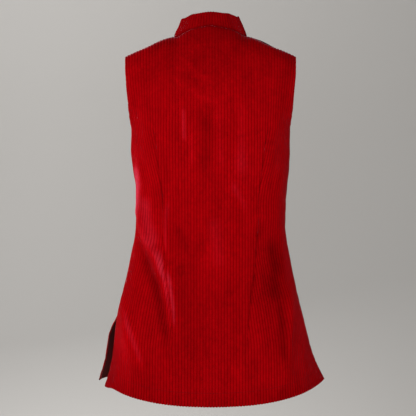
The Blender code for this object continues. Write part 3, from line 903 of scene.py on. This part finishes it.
def clothRow(face, side, level, place, pattern):
    # plain points, directions out and down, place along the pattern, relief, seams and painted light and
    # shade
    share = level * topShare(face, place) if level > 0 else level
    base = clothSpots(face, place, share, side)
    outward, down = clothFrame(face, place, share, side)
    v = level * cloth["upperLength"] if level > 0 else level
    return base, outward, down, v, *rowRelief(face, side, level, place, pattern, v, base[:, 2])


def buildPanel(name, face, side, materials):
    reach = panelEnds(face, side, body["hemHeight"] - body["ringHeight"])
    if face == back:  # cut as wide on both sides
        widest = max(-reach[0], reach[1])
        reach = (-widest, widest)
    pattern, coarse = waleColumns(*reach)
    skirtShade, skirtTop, skirtBlend = cloth["skirtShade"]
    hemShade, hemReach = cloth["hemShade"]
    flattened, flatReach = cloth["flattened"]
    shell = Shell()
    outer = []
    inner = []
    longest = 0.0
    lastBase = None
    for level in panelLevels():
        first, last = panelEnds(face, side, level)
        hemGap = level + body["ringHeight"] - body["hemHeight"] if level <= 0 else 1.0
        for columns, rows in ((pattern, outer), (coarse, inner)):
            place = laidPlaces(face, columns, level, first, last)
            base, outward, down, v, raised, seam, tone = clothRow(face, side, level, place, columns)
            near = np.minimum(last - place, place - first)
            # painted shade: darker over the lower skirt and along the hem, added to the painted crease and
            # seam tones
            paintedShading = tone - skirtShade * eased((skirtTop - hemGap) / skirtBlend)
            paintedShading = paintedShading - hemShade * bell(hemGap, hemReach)
            wear = np.exp(-near / cloth["wearReach"]) + math.exp(-hemGap / cloth["wearReach"])
            if rows is outer:
                wales = waleShape(columns)
                if level > 0:  # they flatten out towards the pressed seams
                    wales = wales * (1 - flattened * bell((1 - level) * cloth["upperReach"], flatReach))
                points = base + outward * (raised + seam + wales)[:, None]
                rows.append(shell.addRow(place, points, columns, v, wear, paintedShading))
                if lastBase is not None:
                    cell = np.linalg.norm(base - lastBase, axis=1)
                    longest += float(np.median(cell))
                lastBase = base
                hem = (base + outward * raised[:, None], outward, down, wales, place, v, wear, paintedShading)
            else:
                turn = eased(1 - hemGap / cloth["turnUp"]) * cloth["turnThick"]
                lowered = np.minimum(raised - cloth["wall"] - turn, raised + seam - cloth["thinnest"])
                if hemGap < cloth["roll"] * 1.5:
                    lowered = raised - cloth["roll"] * 2
                points = base + outward * lowered[:, None]
                rows.append(shell.addRow(place, points, columns, v, wear * cloth["innerWear"], 0.0))
    base, outward, down, wales, place, v, wear, paintedShading = hem
    outer += rollRows(shell, base, outward, down, wales, place, pattern, v, wear, paintedShading)
    shell.closeUp(outer, inner, (body["slitTop"] - body["ringHeight"], cloth["facing"]))
    flat = (float(reach[1] - reach[0]), longest)
    piece = shell.finish(name, materials)
    return piece


corduroy = {
    "wale": (0.47, 0.0006, 0.0034, 1.0),
    # painted shade in the grooves between the wales
    "groove": (0.22, 0.0002, 0.0008, 1.0),
    "worn": (0.52, 0.010, 0.016, 1.0),
    # pale pink painted sheen, laid on the lit fold ridges and the lit side edge
    "paintedSheen": (0.58, 0.036, 0.072, 1.0),
    "lining": (0.070, 0.0010, 0.0018, 1.0),
    "sheen": 0.28,
    "sheenRough": 0.22,
    "sheenTint": (1.0, 0.42, 0.52, 1.0),
    # the pile's tone and how much each unevenness changes it
    "tone": 0.86,
    "streaks": 0.26,
    "fibres": 0.22,
    "broad": 0.30,
    "beads": 0.5,
    "patches": 0.36,
    "grooveShade": 0.78,
    "grooveFade": 0.34,  # less of the painted groove shade towards the top, between these heights
    "fadeFrom": -0.22,
    "fadeTo": -0.04,
}


def makeCorduroy():
    maker = MaterialMaker("redCorduroy")
    u, v = maker.clothPlace()
    wale = u / cloth["pitch"] + 0.5
    offCentre = maker.maths("ABSOLUTE", maker.maths("FRACT", wale) - 0.5) * 2
    groove = maker.smooth(offCentre, 0.50, 1.0)
    count = maker.maths("FLOOR", wale)
    place = maker.objectPlace()
    streak = maker.noise(maker.spot(count * 3.7, v * 14.0), 1.0, 2.0)
    fibres = maker.noise(maker.spot(u * 1500.0, v * 520.0), 1.0, 3.0)
    bead = maker.noise(maker.spot(count * 5.3, v * 120.0, u * 60.0), 1.0, 3.0)
    patch = maker.noise(maker.spot(u * 34.0, v * 13.0), 1.0, 3.0)
    broad = maker.noise(place, 9.0, 2.0)
    wear = maker.attribute("wear")
    # the painted light and shade laid on the points of the cloth
    paintedShading = maker.attribute("paintedShading")
    # painted sheen where the painted light is strongest
    paintedSheen = maker.smooth(paintedShading, 0.07, 0.82)
    tone = corduroy["tone"] + (streak - 0.5) * corduroy["streaks"] + (fibres - 0.5) * corduroy["fibres"]
    tone = tone + (broad - 0.5) * corduroy["broad"] + (bead - 0.5) * corduroy["beads"]
    # painted light raises the pile's tone, painted shade lowers it
    tone = (tone + (patch - 0.5) * corduroy["patches"]) * (1 + maker.maths("MINIMUM", paintedShading, 0.5))
    upperShare = maker.smooth(maker.part(place, 2), corduroy["fadeFrom"], corduroy["fadeTo"])
    # painted groove shade, less of it towards the top
    grooveShade = groove * (corduroy["grooveShade"] - upperShare * corduroy["grooveFade"])
    colour = maker.blend(grooveShade, corduroy["wale"], corduroy["groove"])
    colour = maker.blend(maker.smooth(wear * (1 - groove), 0.5, 1.6) * 0.35, colour, corduroy["worn"])
    colour = maker.blend(paintedSheen * (1 - groove * 0.6), colour, corduroy["paintedSheen"])
    return maker.finish(
        Base_Color=maker.shaded(colour, tone),
        Roughness=0.92 - (fibres - 0.5) * 0.1,
        Normal=maker.bump(fibres * (1 - groove * 0.6), 0.5, 0.0003),
        Specular_IOR_Level=0.0,
        Sheen_Weight=corduroy["sheen"],
        Sheen_Roughness=corduroy["sheenRough"],
        Sheen_Tint=corduroy["sheenTint"],
    )


def makeLining():
    maker = MaterialMaker("wrongSide")
    u, v = maker.clothPlace()
    weave = maker.maths("SINE", u * 5200.0) * maker.maths("SINE", v * 5200.0) * 0.5 + 0.5
    broad = maker.noise(maker.objectPlace(), 14.0, 3.0)
    colour = maker.shaded(corduroy["lining"], 0.80 + weave * 0.20 + (broad - 0.5) * 0.3)
    bump = maker.bump(weave, 0.4, 0.0002)
    return maker.finish(Base_Color=colour, Roughness=0.85, Normal=bump, Specular_IOR_Level=0.15)


redCorduroy = makeCorduroy()
wrongSide = makeLining()
panels = {}
for nodeName, pieceName, face, side in (
    ("back", "backCloth", back, left),
    ("front_left", "frontLeftCloth", front, left),
    ("front_right", "frontRightCloth", front, right),
):
    panels[nodeName] = buildPanel(pieceName, face, side, (redCorduroy, wrongSide))
    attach(panels[nodeName], "root")
    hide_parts(nodeName)

# The stand collar sits on the neck seam, leans in and has upright wales.
collar = {
    # place along it from the centre back, and how tall it stands there
    "heights": (
        (-0.240, 0.0315),
        (-0.180, 0.0380),
        (-0.112, 0.0475),
        (-0.085, 0.0450),
        (-0.055, 0.0398),
        (0.000, 0.0315),
        (0.055, 0.0368),
        (0.085, 0.0412),
        (0.112, 0.0420),
        (0.180, 0.0350),
        (0.240, 0.0315),
    ),
    "lean": 23.5,
    "lift": 0.0006,
    "end": 0.004,
    "round": 0.006,
    "roundStart": 0.5,
    "bend": 0.25,
    "rows": 12,
    "tuck": 0.0032,
    "tuckDepth": 0.0012,
    "tuckedWales": 0.2,
    "wave": (0.0006, 46.0, 0.9),  # height, how close and where its swing starts
    "seamDip": 0.7,  # of the body's seams
    "shade": -0.20,
    "seamShade": -0.30,
    "foldShade": -0.12,
    "topWear": 0.003,
}


def runningLength(points):
    return np.concatenate(([0], np.cumsum(np.linalg.norm(np.diff(points, axis=0), axis=1))))


def valuesAlong(places, length, values):
    return np.stack([np.interp(places, length, values[:, axis]) for axis in range(3)], axis=1)


def neckRing():
    ahead = neckPlace * np.sin(np.radians(np.linspace(0, 90, 91)))
    behind = neckPlace * np.sin(np.radians(np.linspace(-90, 90, 181)))
    points = []
    normals = []
    for face, place, side in (
        (front, -ahead, right),
        (back, behind[1:], left),
        (front, ahead[::-1][1:], left),
    ):
        share = topShare(face, place)
        points.append(clothSpots(face, place, share, side))
        normals.append(clothFrame(face, place, share, side)[0])
    points = np.concatenate(points)
    length = runningLength(points)
    return points, np.concatenate(normals), length - length[-1] / 2


def collarFrame(ring, place):
    points, normals, length = ring
    base = valuesAlong(place, length, points)
    seamNormal = valuesAlong(place, length, normals)
    depth = np.where(base[:, 1] > 0, body["neckDepth"][back], body["neckDepth"][front])
    slopes = (-base[:, 0] / body["neckHalf"] ** 2, -base[:, 1] / depth ** 2, np.zeros(len(base)))
    inward = unit(np.stack(slopes, axis=1))
    lean = math.radians(collar["lean"])
    rise = np.array((0.0, 0.0, 1.0))
    up = inward * math.sin(lean) + rise * math.cos(lean)
    out = rise * math.sin(lean) - inward * math.cos(lean)
    return base, up, out, seamNormal


def buildCollar(materials):
    ring = neckRing()
    end = ring[2][-1] - collar["end"]
    pattern, coarse = waleColumns(-end, end)
    shell = Shell()
    outer = []
    inner = []
    tall = min(height for _, height in collar["heights"])
    standing = tableCurves(collar["heights"])[0]
    waveHeight, waveRate, waveStart = collar["wave"]
    heights = [tall - cloth["roll"], tall - cloth["roll"] * 2.5]
    heights += list(np.linspace(tall - cloth["roll"] * 5, 0.004, collar["rows"]))
    heights += [0.0025, 0.0012, 0.0, -collar["tuck"]]
    top = None
    for height in heights:
        share = max(height, 0.0) / tall
        tucked = cloth["wall"] * 2 + collar["tuckDepth"] if height < 0 else 0.0
        corner = max(share - collar["roundStart"], 0.0) / (1 - collar["roundStart"])
        last = end - collar["round"] * corner ** 2
        for columns, rows in ((pattern, outer), (coarse, inner)):
            place = np.clip(columns, -last, last)
            base, up, out, seamNormal = collarFrame(ring, place)
            seamShare = max(1 - share / collar["bend"], 0.0)
            normal = unit(seamNormal * seamShare + out * (1 - seamShare))
            near = np.minimum(last - place, place + last)
            uneven = softUneven(back, columns * 2.0, height * 3.0) * 0.5
            uneven += waveHeight * np.sin(columns * waveRate + waveStart) * share
            raised = uneven * min(share * 4, 1.0)
            seam = edgeDrop(near, cloth["roll"] * cloth["edgeFold"], cloth["roll"])
            seam += seamDrop(height, cloth["seamBreadth"], cloth["seamDip"] * collar["seamDip"])
            paintedShading = collar["shade"] + collar["seamShade"] * bell(height, cloth["shadeBreadth"])
            points = base + up * (collar["lift"] + height * standing(place) / tall)[:, None]
            wear = np.exp(-near / cloth["wearReach"]) + math.exp(-(tall - height) / collar["topWear"])
            if rows is outer:
                wales = waleShape(columns)
                if top is None:
                    top = (points + normal * raised[:, None], normal, up, wales, place, wear)
                wales = wales * (collar["tuckedWales"] if tucked else 1.0)
                points = points + normal * (raised + seam + wales - tucked)[:, None]
                rows.append(shell.addRow(place, points, columns, height, wear, paintedShading))
            else:
                lowered = np.minimum(raised - cloth["wall"], raised + seam - cloth["thinnest"])
                if height > tall - cloth["roll"] * 1.5:
                    lowered = raised - cloth["roll"] * 2
                points = points + normal * (lowered - tucked)[:, None]
                rows.append(shell.addRow(place, points, columns, height, wear * cloth["innerWear"], 0.0))
    outer.reverse()
    inner.reverse()
    base, normal, up, wales, place, wear = top
    outer += rollRows(shell, base, normal, up, wales, place, pattern, heights[0], wear, collar["foldShade"])
    shell.closeUp(outer, inner)
    flat = (2 * end, max(height for _, height in collar["heights"]))
    area = float(np.sum(standing(pattern)) * columnSpacing)
    print("collar flat length", round(flat[0], 3), "height", flat[1], "area", round(area, 4))
    piece = shell.finish("collarCloth", materials)
    return piece


collarCloth = buildCollar((redCorduroy, wrongSide))
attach(collarCloth, "root")
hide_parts("collar")
print("cloth ready")

# Buttons, their thread and the buttonholes.
closure = {
    "count": 8,
    "top": -0.088,
    "spacing": 0.065,
    "radius": 0.009,
    "thick": 0.0038,
    "rim": 0.0020,
    "rimSlope": 0.0009,
    "dish": 0.0009,
    "foot": 0.0016,
    "footDrop": 0.0002,
    "softEdge": 0.0005,
    "wornRim": (0.0080, 0.0012),  # radius and breadth
    "clear": 0.0002,  # between a button and the highest wale under it
    "turns": (7, -12, 4, 18, -5, 9, -16, 2),  # degrees, no two are sewn on alike
    "holeOffset": 0.0017,
    "holeRadius": 0.00085,
    "threadRadius": 0.00042,
    "threadDip": 0.0009,  # how far below the dish the arch of thread starts
    "archHeight": 0.62,  # of a half circle
    "holeLength": 0.0145,  # buttonhole, from under the button towards the right
    "holeEnd": 0.0014,
    "holeCord": 0.00065,
    "holeFlat": 0.6,
    "holeSunk": 0.0008,
    "colour": (0.110, 0.003, 0.005, 1.0),
    "edgeColour": (0.20, 0.010, 0.014, 1.0),
    "threadColour": (0.15, 0.0025, 0.005, 1.0),
}


def makeButtonPlastic():
    maker = MaterialMaker("buttonPlastic")
    place = maker.objectPlace()
    cloudy = maker.noise(place, 160.0, 4.0)
    scratched = maker.noise(place, 900.0, 2.0)
    worn = maker.smooth(maker.attribute("wear") * (0.6 + scratched * 0.6), 0.35, 0.9)
    colour = maker.blend(worn * 0.6, closure["colour"], closure["edgeColour"])
    colour = maker.blend(maker.smooth(cloudy, 0.35, 0.75) * 0.35, colour, closure["edgeColour"])
    rough = 0.30 + worn * 0.25 + cloudy * 0.1
    bump = maker.bump(scratched, 0.12, 0.0001)
    return maker.finish(Base_Color=colour, Roughness=rough, Normal=bump, Specular_IOR_Level=0.3)


def makeThread():
    maker = MaterialMaker("redThread")
    place = maker.objectPlace()
    plies = maker.node("ShaderNodeTexWave", {}, {"Vector": place, "Scale": 520.0, "Distortion": 1.5})
    fuzz = maker.noise(place, 700.0, 3.0)
    colour = maker.shaded(closure["threadColour"], 0.62 + plies * 0.28 + fuzz * 0.3)
    bump = maker.bump(plies, 0.6, 0.0001)
    return maker.finish(Base_Color=colour, Roughness=0.8, Normal=bump, Specular_IOR_Level=0.2)


def startPiece(name, addPrimitive, place, **sizes):
    bpy.ops.object.select_all(action="DESELECT")
    addPrimitive(location=place, **sizes)
    piece = bpy.context.object
    piece.name = name
    piece.data.name = name
    bpy.ops.object.transform_apply(location=True)
    return piece


def selectWhere(piece, kind, test):  # faces or points, and stays in edit mode
    bpy.ops.object.mode_set(mode="EDIT")
    bpy.ops.mesh.select_mode(type=kind)
    bpy.ops.mesh.select_all(action="DESELECT")
    bpy.ops.object.mode_set(mode="OBJECT")
    for part in piece.data.polygons if kind == "FACE" else piece.data.vertices:
        part.select = test(part)
    bpy.ops.object.mode_set(mode="EDIT")


def modelButton():
    thick = closure["thick"]
    sizes = {"vertices": 48, "radius": closure["radius"], "depth": thick}
    button = startPiece("buttonModel", bpy.ops.mesh.primitive_cylinder_add, (0, 0, thick / 2), **sizes)
    # raised rim round a shallow dish, and a narrower foot
    selectWhere(button, "FACE", lambda face: face.normal.z > 0.9)
    bpy.ops.mesh.inset(thickness=closure["rim"])
    bpy.ops.mesh.inset(thickness=closure["rimSlope"])
    bpy.ops.transform.translate(value=(0, 0, -closure["dish"]))
    selectWhere(button, "FACE", lambda face: face.normal.z < -0.9)
    bpy.ops.mesh.inset(thickness=closure["foot"])
    bpy.ops.transform.translate(value=(0, 0, -closure["footDrop"]))
    bpy.ops.object.mode_set(mode="OBJECT")
    soften = button.modifiers.new("soften", "BEVEL")
    soften.width = closure["softEdge"]
    soften.segments = 3
    soften.limit_method = "ANGLE"
    soften.angle_limit = math.radians(25)
    bpy.ops.object.modifier_apply(modifier="soften")
    # four sewing holes
    cutters = []
    for x in (-1, 1):
        for y in (-1, 1):
            bpy.ops.object.select_all(action="DESELECT")
            bpy.ops.mesh.primitive_cylinder_add(
                vertices=16,
                radius=closure["holeRadius"],
                depth=thick * 3,
                location=(x * closure["holeOffset"], y * closure["holeOffset"], thick / 2),
            )
            cutters.append(bpy.context.object)
    for cutter in cutters:
        bpy.ops.object.select_all(action="DESELECT")
        button.select_set(True)
        bpy.context.view_layer.objects.active = button
        hole = button.modifiers.new("hole", "BOOLEAN")
        hole.operation = "DIFFERENCE"
        hole.solver = "EXACT"
        hole.object = cutter
        bpy.ops.object.modifier_apply(modifier="hole")
        bpy.data.objects.remove(cutter, do_unlink=True)
    # paler wear on the rim
    wear = button.data.attributes.new("wear", "FLOAT", "POINT")
    radius, breadth = closure["wornRim"]
    spots = [point.co for point in button.data.vertices]
    worn = [bell(math.hypot(spot.x, spot.y) - radius, breadth) * (spot.z > thick * 0.6) for spot in spots]
    wear.data.foreach_set("value", worn)
    bpy.ops.object.shade_smooth_by_angle(angle=math.radians(35))
    return button


def modelThread():
    # one arched stitch from hole to hole, then its pair beside it
    offset = closure["holeOffset"]
    top = closure["thick"] - closure["dish"] - closure["threadDip"]
    sizes = {"vertices": 10, "radius": closure["threadRadius"], "fill_type": "NGON"}
    thread = startPiece("threadModel", bpy.ops.mesh.primitive_circle_add, (offset, offset, 0), **sizes)
    bpy.ops.object.mode_set(mode="EDIT")
    bpy.ops.mesh.select_all(action="SELECT")
    bpy.ops.mesh.extrude_region_move(TRANSFORM_OT_translate={"value": (0, 0, top)})
    bpy.ops.mesh.spin(steps=10, angle=math.pi, center=(0, offset, top), axis=(0, 1, 0))
    bpy.ops.mesh.extrude_region_move(TRANSFORM_OT_translate={"value": (0, 0, -top)})
    # flatten the arch until it lies on the dish
    bpy.ops.object.mode_set(mode="OBJECT")
    for point in thread.data.vertices:
        if point.co.z > top:
            point.co.z = top + (point.co.z - top) * closure["archHeight"]
    bpy.ops.object.mode_set(mode="EDIT")
    bpy.ops.mesh.select_all(action="SELECT")
    bpy.ops.mesh.duplicate_move(TRANSFORM_OT_translate={"value": (0, -2 * offset, 0)})
    bpy.ops.mesh.select_all(action="SELECT")
    bpy.ops.mesh.normals_make_consistent(inside=False)
    bpy.ops.object.mode_set(mode="OBJECT")
    bpy.ops.object.shade_smooth_by_angle(angle=math.radians(50))
    return thread


def modelButtonhole():
    # a ring of close stitches drawn out to one side
    start = 0.0015
    sizes = {"major_radius": closure["holeEnd"], "minor_radius": closure["holeCord"]}
    sizes.update({"major_segments": 32, "minor_segments": 8})
    hole = startPiece("buttonholeModel", bpy.ops.mesh.primitive_torus_add, (start, 0, 0), **sizes)
    selectWhere(hole, "VERT", lambda point: point.co.x < start)
    bpy.ops.transform.translate(value=(-closure["holeLength"], 0, 0))
    bpy.ops.mesh.select_all(action="SELECT")
    bpy.ops.transform.resize(value=(1, 1, closure["holeFlat"]))
    bpy.ops.object.mode_set(mode="OBJECT")
    bpy.ops.object.shade_smooth_by_angle(angle=math.radians(50))
    return hole


def placedMesh(model, name, spot, across, along, out, material):  # own mesh, placed in itself
    mesh = model.data.copy()
    mesh.name = name
    turn = Matrix((across, along, out)).transposed().to_4x4()
    mesh.transform(Matrix.Translation(spot) @ turn)
    mesh.materials.clear()
    mesh.materials.append(material)
    mesh.update()
    return mesh


def addPiece(name, mesh, replaced=None):
    piece = bpy.data.objects.new(name, mesh)
    bpy.context.scene.collection.objects.link(piece)
    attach(piece, "root")
    if replaced:
        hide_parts(replaced)
    return piece


def surfaceRow(face, side, place, level):  # points on the wales, directions out and down
    base, outward, down, _, raised, seam, _ = clothRow(face, side, level, place, place)
    return base + outward * (raised + seam + waleShape(place))[:, None], outward, down


frontLevels = np.linspace(0.002, 1.0, 80)
middleTop = topShare(front, np.zeros(1))
frontHeights = [clothSpots(front, np.zeros(1), level * middleTop, right)[0, 2] for level in frontLevels]


def levelAtHeight(height):  # along the centre front
    if height <= body["ringHeight"]:
        return height - body["ringHeight"]
    return float(np.interp(height, frontHeights, frontLevels))


def buttonSeat(height):
    radius = closure["radius"]
    places = np.linspace(-radius, radius, 9)
    levels = [levelAtHeight(height + step) for step in np.linspace(-radius, radius, 7)]
    rows = np.array([surfaceRow(front, right, places, level)[0] for level in levels])
    lean = (rows[-1, 4, 1] - rows[0, 4, 1]) / (rows[-1, 4, 2] - rows[0, 4, 2])
    out = np.array((0.0, -1.0, lean)) / math.hypot(1.0, lean)
    middle = rows[3, 4]
    proud = float(np.max((rows.reshape(-1, 3) - middle) @ out))
    return middle + out * (proud + closure["clear"]), out


redThread = makeThread()
buttonPlastic = makeButtonPlastic()
buttonModel = modelButton()
threadModel = modelThread()
buttonholeModel = modelButtonhole()
across = np.array((1.0, 0.0, 0.0))
for index in range(closure["count"]):
    seat, out = buttonSeat(closure["top"] - index * closure["spacing"])
    along = np.cross(out, across)
    number = str(index + 1)
    turned = math.radians(closure["turns"][index])
    first = across * math.cos(turned) + along * math.sin(turned)
    second = np.cross(out, first)
    mesh = placedMesh(buttonModel, "buttonShape" + number, seat, first, second, out, buttonPlastic)
    addPiece("sewnButton" + number, mesh, "button_" + number)
    mesh = placedMesh(threadModel, "threadShape" + number, seat, first, second, out, redThread)
    addPiece("buttonThread" + number, mesh)
    seat = seat - out * closure["holeSunk"]
    mesh = placedMesh(buttonholeModel, "buttonholeShape" + number, seat, across, along, out, redThread)
    addPiece("buttonhole" + number, mesh)
for model in (buttonModel, threadModel, buttonholeModel):
    bpy.data.objects.remove(model, do_unlink=True)
print("buttons ready")

# Rows of stitches: round the armholes, down the edge of the right front and above the hem.
stitching = {
    "inset": 0.0065,
    "step": 0.0040,
    "hemInset": 0.0255,
    "endGap": 0.006,
    "radius": 0.00030,
    "halfLength": 0.0015,
    "parts": 5,
    "dive": 0.00045,
    "proud": 0.0001,
}


def modelStitch():
    half = stitching["halfLength"]
    part = 2 * half / stitching["parts"]
    sizes = {"vertices": 6, "radius": stitching["radius"], "fill_type": "NGON"}
    stitch = startPiece("stitchModel", bpy.ops.mesh.primitive_circle_add, (0, 0, -half), **sizes)
    bpy.ops.object.mode_set(mode="EDIT")
    bpy.ops.mesh.select_all(action="SELECT")
    for _ in range(stitching["parts"]):
        bpy.ops.mesh.extrude_region_move(TRANSFORM_OT_translate={"value": (0, 0, part)})
    bpy.ops.mesh.select_all(action="SELECT")
    bpy.ops.mesh.normals_make_consistent(inside=False)
    bpy.ops.object.mode_set(mode="OBJECT")
    for point in stitch.data.vertices:  # the ends dive into the cloth
        point.co.x -= stitching["dive"] * (point.co.z / half) ** 4
    bpy.ops.object.shade_smooth_by_angle(angle=math.radians(60))
    return stitch


def stitchRun(name, spots, outs, ways):
    shape = bmesh.new()
    for spot, out, way in zip(spots, outs, ways):
        side = np.cross(way, out)
        spot = spot + out * stitching["proud"]
        mesh = placedMesh(stitchModel, "stitch", spot, out, side, way, redThread)
        shape.from_mesh(mesh)
        bpy.data.meshes.remove(mesh)
    run = bpy.data.meshes.new(name)
    bmesh.ops.recalc_face_normals(shape, faces=shape.faces)
    shape.to_mesh(run)
    shape.free()
    run.materials.append(redThread)
    for face in run.polygons:
        face.use_smooth = True
    return addPiece(name, run)


def spacedOut(points, outs, step):  # even steps along a line of points on the cloth
    near = 0.001
    length = runningLength(points)
    count = int(length[-1] / step)
    places = (np.arange(count) + 0.5) * length[-1] / count
    facing = unit(valuesAlong(places, length, outs))
    way = unit(valuesAlong(places + near, length, points) - valuesAlong(places - near, length, points))
    facing = unit(facing - way * np.sum(facing * way, axis=1)[:, None])
    return valuesAlong(places, length, points), facing, way


def edgeLine(face, side, edge, levels):  # just inside one edge of a panel
    points = []
    outs = []
    for level in levels:
        first, last = panelEnds(face, side, level)
        place = (last if edge == left else first) - edge * stitching["inset"]
        row, outward, _ = surfaceRow(face, side, np.array([place]), level)
        points.append(row[0])
        outs.append(outward[0])
    return np.array(points), np.array(outs)


stitchModel = modelStitch()
depth = body["ringHeight"] - body["hemHeight"]
armLevels = np.linspace(0.985, 0.03, 60)
for face, side, label in (
    (back, left, "BackLeft"),
    (back, right, "BackRight"),
    (front, left, "FrontLeft"),
    (front, right, "FrontRight"),
):
    line = edgeLine(face, side, side, armLevels)
    stitchRun("armholeStitches" + label, *spacedOut(*line, stitching["step"]))
edgeLevels = list(np.linspace(0.97, 0.02, 50)) + list(np.linspace(-0.002, 0.012 - depth, 120))
line = edgeLine(front, right, left, edgeLevels)
stitchRun("frontEdgeStitches", *spacedOut(*line, stitching["step"]))
hemLevel = stitching["hemInset"] - depth
for face, side, label in ((back, left, "Back"), (front, left, "FrontLeft"), (front, right, "FrontRight")):
    ends = panelEnds(face, side, hemLevel)
    first = math.ceil((ends[0] + stitching["endGap"]) / cloth["pitch"])
    last = math.floor((ends[1] - stitching["endGap"]) / cloth["pitch"])
    places = np.arange(first, last + 1) * cloth["pitch"]
    points, outs, downs = surfaceRow(face, side, places, hemLevel)
    stitchRun("hemStitches" + label, points, outs, unit(np.cross(outs, downs)))
bpy.data.objects.remove(stitchModel, do_unlink=True)
print("stitching ready")
